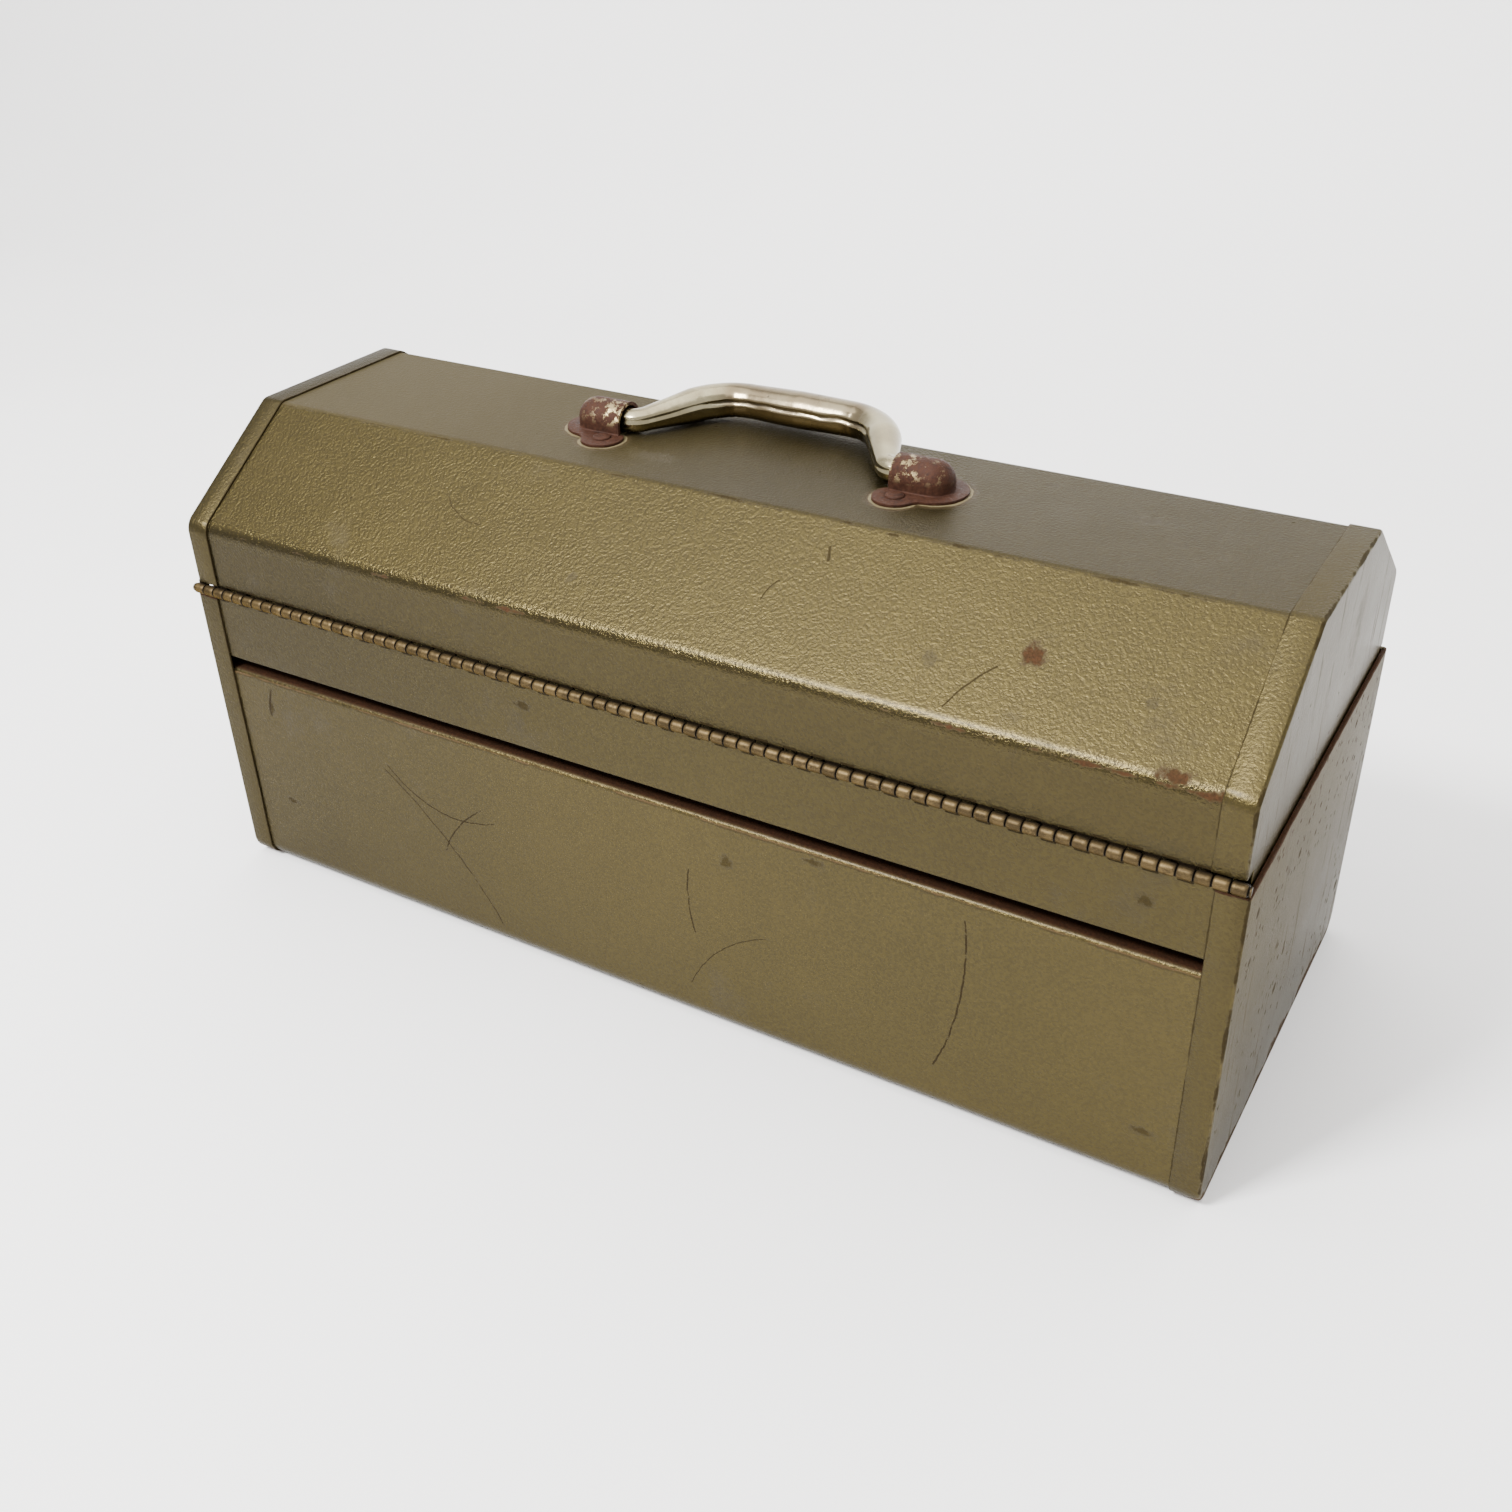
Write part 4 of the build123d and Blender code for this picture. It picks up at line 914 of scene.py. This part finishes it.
def end_tree(g, out, pieces, material):
    """Joins the pieces, makes instances real and gives them their material."""
    joined = g.node("GeometryNodeJoinGeometry")
    for piece in pieces:
        g.tree.links.new(piece, joined.inputs[0])
    real = g.output("GeometryNodeRealizeInstances", Geometry=joined.outputs[0])
    g.put(out[0], g.output("GeometryNodeSetMaterial", Geometry=real, Material=material))


# ---- Hinge ----------------------------------------------------------------------------


def hinge_end():
    """Half length of the row of knuckles."""
    return BODY_CORNER.x - 0.8 * MM


def hinge_pitch(settings):
    """Middle to middle of two neighbouring knuckles."""
    return 2 * hinge_end() / settings.knuckles


def leaf_tree():
    """Knuckles and webs on the given points, and the plate that carries them."""
    lengths = ("Width", "Radius", "Edge", "Sheet", "Web Drop", "Web Rise", "Plate Low", "Plate High")
    inputs = {name: 1 * MM for name in (*lengths, "Half Length")}
    g, given, out = geometry_tree("Hinge leaf", {**inputs, "Axis": (0, 0, 0), "Seed": 7})
    width, radius, edge, sheet, web_low, web_high, low, high = (given[name] for name in lengths)
    knuckle = turned(g, (1, 0, 0), width, radius, edge, 9.0, 18, 9)
    roll = g.node("FunctionNodeRandomValue", {"data_type": "FLOAT_VECTOR"}, Seed=given["Seed"])
    roll.inputs[0].default_value = (0.96, 0.955, 0.955)
    roll.inputs[1].default_value = (1.0, 1.0, 1.0)
    knuckles = g.output(
        "GeometryNodeInstanceOnPoints", Points=given[0], Instance=knuckle, Scale=roll.outputs[0]
    )
    inwards = g.minus(g.times(sheet, 0.5), radius)

    def plate(long, low, high, y):
        block = g.output("GeometryNodeMeshCube", Size=g.combine(long, sheet, g.minus(high, low)))
        middle = g.combine(0.0, y, g.times(g.plus(high, low), 0.5))
        return g.output("GeometryNodeTransform", Geometry=block, Translation=middle)

    web = plate(width, web_low, web_high, inwards)
    webs = g.output("GeometryNodeInstanceOnPoints", Points=given[0], Instance=web)
    plate_y = g.minus(g.plus(g.split(given["Axis"])["Y"], inwards), 0.5 * MM)
    leaf = plate(g.times(given["Half Length"], 2.0), low, high, plate_y)
    end_tree(g, out, (knuckles, webs, leaf), given["Material"])
    return g.tree


class TOOLBOX_OT_hinge(bpy.types.Operator):
    """Roll the piano hinge's two leaves and paint its pin"""

    bl_idname = "toolbox.hinge"
    bl_label = "Piano hinge"

    def execute(self, context):
        settings = context.scene.toolbox_hinge
        material = knuckle_steel(settings)
        tree = leaf_tree()
        pitch = hinge_pitch(settings)
        paint(material, "hinge_pin")
        for first, node in enumerate(("hinge_leaf_body", "hinge_leaf_lid")):
            low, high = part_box(node)
            places = [
                (-hinge_end() + pitch * (k + 0.5), HINGE.y, HINGE.z)
                for k in range(first, settings.knuckles, 2)
            ]
            body_side = node == "hinge_leaf_body"
            values = {
                "Width": pitch - settings.gap,
                "Radius": settings.radius,
                "Edge": settings.edge,
                "Sheet": settings.sheet,
                "Web Drop": RIM - HINGE.z if body_side else 0.0,
                "Web Rise": 0.0 if body_side else LID_EDGE - HINGE.z,
                "Plate Low": low.z if body_side else high.z - settings.leaf - settings.sheet,
                "Plate High": low.z + settings.leaf if body_side else high.z,
                "Half Length": (BODY_CORNER.x if body_side else LID_CORNER.x) - 1.5 * MM,
                "Axis": HINGE,
                "Seed": first + 7,
            }
            mesh = grown(f"{node}_rolled", tree, places, values, material)
            smooth(mesh, 50)
            add_piece(f"{node}_rolled", mesh, "hinge_steel", node)
        return {"FINISHED"}


# ---- Rivets ---------------------------------------------------------------------------

HEAD_ROOM = {"large": 1.9 * MM, "small": 1.3 * MM}  # from a node's outer end to the face under its heads
TAIL_RISE = {"large": 1.2 * MM, "small": 0.8 * MM}


def rivet_tree():
    """A pressed head and a spread tail on each of the given points."""
    lengths = ("Head Radius", "Head Rise", "Tail Radius", "Tail Rise", "Grip")
    inputs = {"Facing": (0, 0, 1), **{name: 1 * MM for name in lengths}}
    g, given, out = geometry_tree("Rivets", inputs)
    facing, ends = given["Facing"], []
    for end, shift, sharpness in (("Head", 0.0, 3.0), ("Tail", given["Grip"], 6.0)):
        radius, rise = given[f"{end} Radius"], given[f"{end} Rise"]
        shape = turned(
            g, facing, g.times(rise, 2.0), radius, g.times(radius, 0.55), sharpness, 20, 13
        )
        back = g.vector("SCALE", facing, g.times(shift, -1.0))
        moved = g.output("GeometryNodeSetPosition", Geometry=given[0], Offset=back)
        ends.append(g.output("GeometryNodeInstanceOnPoints", Points=moved, Instance=shape))
    end_tree(g, out, ends, given["Material"])
    return g.tree


def rivet_points(node, facing, head, face):
    """Middles of a group's heads, on the face that they stand on."""
    low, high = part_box(node)
    spans = [
        sorted({round(low[i] + head, 5), round(high[i] - head, 5)}) if abs(facing[i]) < 0.5 else [face]
        for i in range(3)
    ]
    return list(product(*spans))


class TOOLBOX_OT_rivets(bpy.types.Operator):
    """Press every group of rivets"""

    bl_idname = "toolbox.rivets"
    bl_label = "Rivets"

    def execute(self, context):
        settings = context.scene.toolbox_rivets
        tree = rivet_tree()
        plated = plated_steel("Rivet plating", context.scene.toolbox_hardware, "5D5748", 0.45)
        rusty = bpy.data.materials["Rusty bracket"]
        front = [*both("catch_base_rivets"), *both("strike_rivets"), "staple_rivets", "hasp_tab_rivets"]
        groups = [(name, (0, 0, 1), rusty, "rusty_bracket") for name in both("bracket_rivets")]
        groups += [(name, (0, -1, 0), plated, "catch_plating") for name in front]
        for side, name in zip((1, -1), both("tray_handle_rivets")):
            groups.append((name, (side, 0, 0), plated, "tray_handle_steel"))
        for name, facing, material, slot in groups:
            size = "large" if name.startswith("bracket") else "small"
            head, rise, tail = (getattr(settings, f"{size}_{part}") for part in ("head", "rise", "tail"))
            head_room, tail_rise = HEAD_ROOM[size], TAIL_RISE[size]
            axis = max(range(3), key=lambda i: abs(facing[i]))
            low, high = (corner[axis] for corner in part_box(name))
            face = high - head_room if facing[axis] > 0 else low + head_room
            values = {
                "Facing": facing,
                "Head Radius": head,
                "Head Rise": rise,
                "Tail Radius": tail,
                "Tail Rise": tail_rise,
                "Grip": high - low - head_room - tail_rise,
            }
            points = rivet_points(name, facing, head, face)
            mesh = grown(f"{name}_pressed", tree, points, values, material)
            smooth(mesh)
            add_piece(f"{name}_pressed", mesh, slot, name)
        return {"FINISHED"}


# ---- Carrying handle ------------------------------------------------------------------


def bow_stations(settings):
    """Half of the bow from its open end to the middle: point, direction and tube radius.

    The bow lies in a plane: the first coordinate runs along the box, the second away
    from the pivots.
    """
    knee, shoulder = Vector((settings.knee, 0)), Vector((settings.shoulder, settings.reach))
    arm = (shoulder - knee).normalized()
    inwards = Vector((-1, 0))
    lean = inwards.angle(arm)
    knee_run = settings.knee_bend * math.tan(lean / 2)
    shoulder_run = settings.shoulder_bend * math.tan(lean / 2)
    stations = []

    def straight(start, end, first, last, count):
        for k in range(count):
            share = k / count
            stations.append(
                (start.lerp(end, share), (end - start).normalized(), first + (last - first) * share)
            )

    def bend(start, heading, radius, turn, tube, count):
        side = Vector((-heading.y, heading.x)) * (1 if turn > 0 else -1)
        centre = start + side * radius
        for k in range(count):
            angle = turn * k / count
            spin = Matrix.Rotation(angle, 2)
            stations.append((centre + spin @ (start - centre), spin @ heading, tube))

    end = Vector((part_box("carry_handle")[1].x, 0))
    knee_in, knee_out = knee - inwards * knee_run, knee + arm * knee_run
    bend_in, bend_out = shoulder - arm * shoulder_run, shoulder + inwards * shoulder_run
    straight(end, knee_in, settings.stub, settings.stub, 8)
    bend(knee_in, inwards, settings.knee_bend, -lean, settings.stub, 10)
    straight(knee_out, bend_in, settings.stub, settings.arm, 14)
    bend(bend_in, arm, settings.shoulder_bend, lean, settings.arm, 16)
    straight(bend_out, Vector((0, settings.reach)), settings.arm, settings.grip, 34)
    return stations


# Wrinkles at the shoulders: place along the box, width and depth in millimetres.
WRINKLES = (
    (33, 1.0, 0.55), (30.2, 0.8, 0.3), (36.5, 1.3, 0.4), (-31.5, 1.0, 0.5), (-34.5, 1.2, 0.45)
)


def dents(place, turn):
    """Small wrinkles that the bending left on the inside of both shoulders."""
    inside = max(0.0, math.cos(turn)) ** 0.7
    depth = 0.0
    for middle, width, amount in WRINKLES:
        depth += amount * math.exp(-(((place.x / MM - middle) / width) ** 2))
    return depth * inside * MM


def bow_mesh(settings):
    """The whole tube with its open seam, laid forward on the roof."""
    half = bow_stations(settings)
    middle = (Vector((0, settings.reach)), Vector((-1, 0)), settings.grip)
    other = [(Vector((-p.x, p.y)), Vector((d.x, -d.y)), r) for p, d, r in reversed(half)]
    stations = half + [middle] + other
    seam = math.radians(16)
    sides, crowding = 56, 1.4
    turns = []
    for k in range(sides):
        share = 2 * k / sides - 1
        turns.append(seam + math.pi * math.copysign(abs(share) ** crowding, share))
    lay = Matrix.Translation(PIVOT) @ Matrix.Rotation(-settings.tilt, 4, "X")
    made = bmesh.new()
    # How open the seam is; it sets the painted shade in the seam.
    dirt_and_shade = made.verts.layers.float.new("seam")

    def ring(point, heading, radius, carved=True):
        inside = Vector((-heading.y, heading.x))
        loop = []
        for turn in turns:
            away = ((turn - seam + math.pi) % (2 * math.pi) - math.pi) * radius
            r = radius
            shut = 0.0
            if carved:
                wander = 0.7 * MM * noise.noise(Vector((point.x * 110, 3.0, 0.0)))
                off = (away + wander) / settings.seam_width
                open_here = 0.75 + 0.5 * noise.noise(Vector((point.x * 70, 9.0, 0.0)))
                open_here *= 1.0 if abs(point.x) < 46 * MM else 0.5
                shut = open_here * math.exp(-(off**2))
                r -= settings.seam_depth * shut
                r += 0.12 * MM * math.exp(-((abs(off) - 1.9) ** 2) * 2)
                r -= dents(point, turn)
                swirl = Vector((point.x * 55, math.cos(turn) * 0.6, math.sin(turn) * 0.6))
                r += 0.16 * MM * noise.noise(swirl)
            flat = point + inside * math.cos(turn) * r
            vertex = made.verts.new(lay @ Vector((flat.x, -flat.y, math.sin(turn) * r)))
            vertex[dirt_and_shade] = shut
            loop.append(vertex)
        return loop

    def skin(first, second):
        for k in range(sides):
            after = (k + 1) % sides
            made.faces.new((first[k], first[after], second[after], second[k]))

    loops = [ring(p, d, r) for p, d, r in stations]
    for first, second in zip(loops, loops[1:]):
        skin(first, second)
    depth = 9 * MM
    for loop, (point, heading, radius), into in (
        (loops[0], stations[0], 1), (loops[-1], stations[-1], -1)
    ):
        bore = radius - settings.wall
        mouth = ring(point, heading, bore, carved=False)
        bottom = ring(point + heading * depth * into, heading, bore, carved=False)
        skin(loop, mouth)
        skin(mouth, bottom)
        made.faces.new(bottom)
    bmesh.ops.recalc_face_normals(made, faces=made.faces)
    for face in made.faces:
        face.smooth = len(face.verts) == 4
    mesh = bpy.data.meshes.new("carry_handle_rolled")
    made.to_mesh(mesh)
    made.free()
    mesh.set_sharp_from_angle(angle=math.radians(60))
    return mesh


class TOOLBOX_OT_handle(bpy.types.Operator):
    """Roll and bend the carrying handle"""

    bl_idname = "toolbox.handle"
    bl_label = "Carrying handle"

    def execute(self, context):
        mesh = bow_mesh(context.scene.toolbox_handle)
        mesh.materials.append(dull_nickel(context.scene.toolbox_hardware))
        add_piece("carry_handle_rolled", mesh, "handle_nickel", "carry_handle")
        return {"FINISHED"}


# ---- Other fittings -------------------------------------------------------------------


class TOOLBOX_OT_brackets(bpy.types.Operator):
    """Finish the two rusty handle brackets"""

    bl_idname = "toolbox.brackets"
    bl_label = "Handle brackets"

    def execute(self, context):
        settings = context.scene.toolbox_hardware
        material = rusty_bracket(settings)
        for name in both("handle_bracket"):
            softened(name, settings.edge, material, "rusty_bracket")
        return {"FINISHED"}


class TOOLBOX_OT_catches(bpy.types.Operator):
    """Finish the catches, their strikes and the hasp"""

    bl_idname = "toolbox.catches"
    bl_label = "Catches and hasp"

    def execute(self, context):
        settings = context.scene.toolbox_hardware
        material = plated_steel("Catch plating", settings, "655F50", 0.34)
        pairs = (*both("catch_base"), *both("catch_lever"), *both("strike"))
        for name in (*pairs, "padlock_staple", "hasp_tab"):
            softened(name, settings.edge, material, "catch_plating")
        paint(material, *both("catch_pin"))
        return {"FINISHED"}


class TOOLBOX_OT_enamel(bpy.types.Operator):
    """Finish the folded sheets and end caps in hammered enamel"""

    bl_idname = "toolbox.enamel"
    bl_label = "Enamelled sheets"

    def execute(self, context):
        settings = context.scene.toolbox_enamel
        paint(enamel("Body enamel", settings, body_marks), "body_wrap")
        paint(enamel("Lid enamel", settings, lid_marks), "lid_wrap")
        for gable, name in ((False, "body_end"), (True, "lid_end")):
            material = enamel(f"{name} enamel", settings, cap_marks(gable), texture=0.8)
            for node in both(name):
                softened(node, context.scene.toolbox_hardware.fold_edge, material, "hammered_enamel")
        return {"FINISHED"}


class TOOLBOX_OT_tray(bpy.types.Operator):
    """Finish the lift-out tray and its handle"""

    bl_idname = "toolbox.tray"
    bl_label = "Tray"

    def execute(self, context):
        hardware = context.scene.toolbox_hardware
        edge = hardware.fold_edge
        material = enamel("Tray enamel", context.scene.toolbox_enamel, tray_marks, 0.1, 0.7)
        paint(material, "tray_pan")
        for name in (*both("tray_end"), *both("tray_divider")):
            softened(name, edge, material, "tray_enamel")
        steel = plated_steel("Tray handle steel", hardware, "575244", 0.25)
        softened("tray_handle", 2 * edge, steel, "tray_handle_steel")
        return {"FINISHED"}


# ---- Stage ----------------------------------------------------------------------------

CAMERA_AT = Vector((-339.4, 562.1, 486.2)) * MM
CAMERA_AZIMUTH, CAMERA_ELEVATION, CAMERA_ROLL = 211.53, 31.86, -1.67


def camera_turn():
    """The camera's axes from its azimuth, elevation and roll."""
    azimuth, elevation, roll = map(math.radians, (CAMERA_AZIMUTH, CAMERA_ELEVATION, CAMERA_ROLL))
    level_share = math.cos(elevation)
    forward = Vector(
        (-math.sin(azimuth) * level_share, math.cos(azimuth) * level_share, -math.sin(elevation))
    )
    level = forward.cross(Vector((0, 0, 1))).normalized()
    up = level.cross(forward)
    right = level * math.cos(roll) + up * math.sin(roll)
    top = up * math.cos(roll) - level * math.sin(roll)
    return Matrix((right, top, -forward)).transposed().to_4x4()


def area_light(name, at, towards, size, power):
    """A square soft light."""
    light = bpy.data.lights.new(name, "AREA")
    light.size = size
    light.energy = power
    holder = bpy.data.objects.new(name, light)
    holder.location = at
    holder.rotation_mode = "QUATERNION"
    holder.rotation_quaternion = (Vector(towards) - Vector(at)).to_track_quat("-Z", "Y")
    bpy.context.collection.objects.link(holder)


def backdrop(material):
    """Floor and wall in one sheet, curved where they meet, behind the box's front."""
    near, far, height, radius = 5.0, -1.0, 2.4, 0.35
    steps, half = 12, 4.5
    line = [(near, 0.0)]
    for k in range(steps + 1):
        turn = math.pi / 2 * k / steps
        line.append((far + radius - radius * math.sin(turn), radius - radius * math.cos(turn)))
    line.append((far, height))
    points = [(x, y, z) for y, z in line for x in (half, -half)]
    faces = [(2 * k, 2 * k + 1, 2 * k + 3, 2 * k + 2) for k in range(len(line) - 1)]
    mesh = bpy.data.meshes.new("studio_floor")
    mesh.from_pydata(points, [], faces)
    smooth(mesh)
    mesh.materials.append(material)
    floor = bpy.data.objects.new("studio_floor", mesh)
    bpy.context.collection.objects.link(floor)


class TOOLBOX_OT_stage(bpy.types.Operator):
    """Build the floor, the lights and the camera"""

    bl_idname = "toolbox.stage"
    bl_label = "Stage"

    def execute(self, context):
        settings = context.scene.toolbox_stage
        material, g, at = new_material("Pale painted floor")
        clouds = g.step(g.noise(at, 3.0, 5.0), 0.3, 0.7)
        paint_tone = g.mix(clouds, settings.floor, settings.light_floor)
        backdrop(finish(material, g, Base_Color=paint_tone, Roughness=0.6))
        area_light("key_light", (0.62, 1.3, 1.75), (-0.05, 0, 0.1), 0.5, settings.key_power)
        area_light("ceiling_light", (0.2, 0.25, 2.1), (0, 0, 0), 2.0, settings.ceiling_power)
        world = bpy.data.worlds.new("Soft room")
        world.use_nodes = True
        background = world.node_tree.nodes["Background"]
        background.inputs["Color"].default_value = settings.room
        background.inputs["Strength"].default_value = settings.brightness
        context.scene.world = world
        data = bpy.data.cameras.new("Camera")
        data.lens = settings.focal
        data.sensor_width = 36.0
        camera = bpy.data.objects.new("Camera", data)
        camera.matrix_world = Matrix.Translation(CAMERA_AT) @ camera_turn()
        bpy.context.collection.objects.link(camera)
        context.scene.camera = camera
        return {"FINISHED"}


# ---- Add-on ---------------------------------------------------------------------------


class TOOLBOX_PT_panel(bpy.types.Panel):
    """Lists the tool box's operators"""

    bl_idname = "TOOLBOX_PT_panel"
    bl_label = "Tool Box"
    bl_space_type = "VIEW_3D"
    bl_region_type = "UI"
    bl_category = "Tool Box"

    def draw(self, context):
        for operator in OPERATORS:
            self.layout.operator(operator.bl_idname)


SETTINGS = {
    "toolbox_enamel": EnamelSettings,
    "toolbox_hinge": HingeSettings,
    "toolbox_rivets": RivetSettings,
    "toolbox_handle": HandleSettings,
    "toolbox_hardware": HardwareSettings,
    "toolbox_stage": StageSettings,
}
OPERATORS = (
    TOOLBOX_OT_stage,
    TOOLBOX_OT_enamel,
    TOOLBOX_OT_hinge,
    TOOLBOX_OT_brackets,
    TOOLBOX_OT_handle,
    TOOLBOX_OT_catches,
    TOOLBOX_OT_tray,
    TOOLBOX_OT_rivets,
)


def register():
    for name, group in SETTINGS.items():
        bpy.utils.register_class(group)
        setattr(bpy.types.Scene, name, bpy.props.PointerProperty(type=group))
    for cls in (*OPERATORS, TOOLBOX_PT_panel):
        bpy.utils.register_class(cls)


def unregister():
    for cls in (TOOLBOX_PT_panel, *reversed(OPERATORS)):
        bpy.utils.unregister_class(cls)
    for name, group in reversed(SETTINGS.items()):
        delattr(bpy.types.Scene, name)
        bpy.utils.unregister_class(group)


def main():
    register()
    for build in SHADER_GROUPS:
        build()
    for operator in OPERATORS:
        name = operator.bl_idname.split(".")[1]
        getattr(bpy.ops.toolbox, name)()


if __name__ == "__main__":
    main()
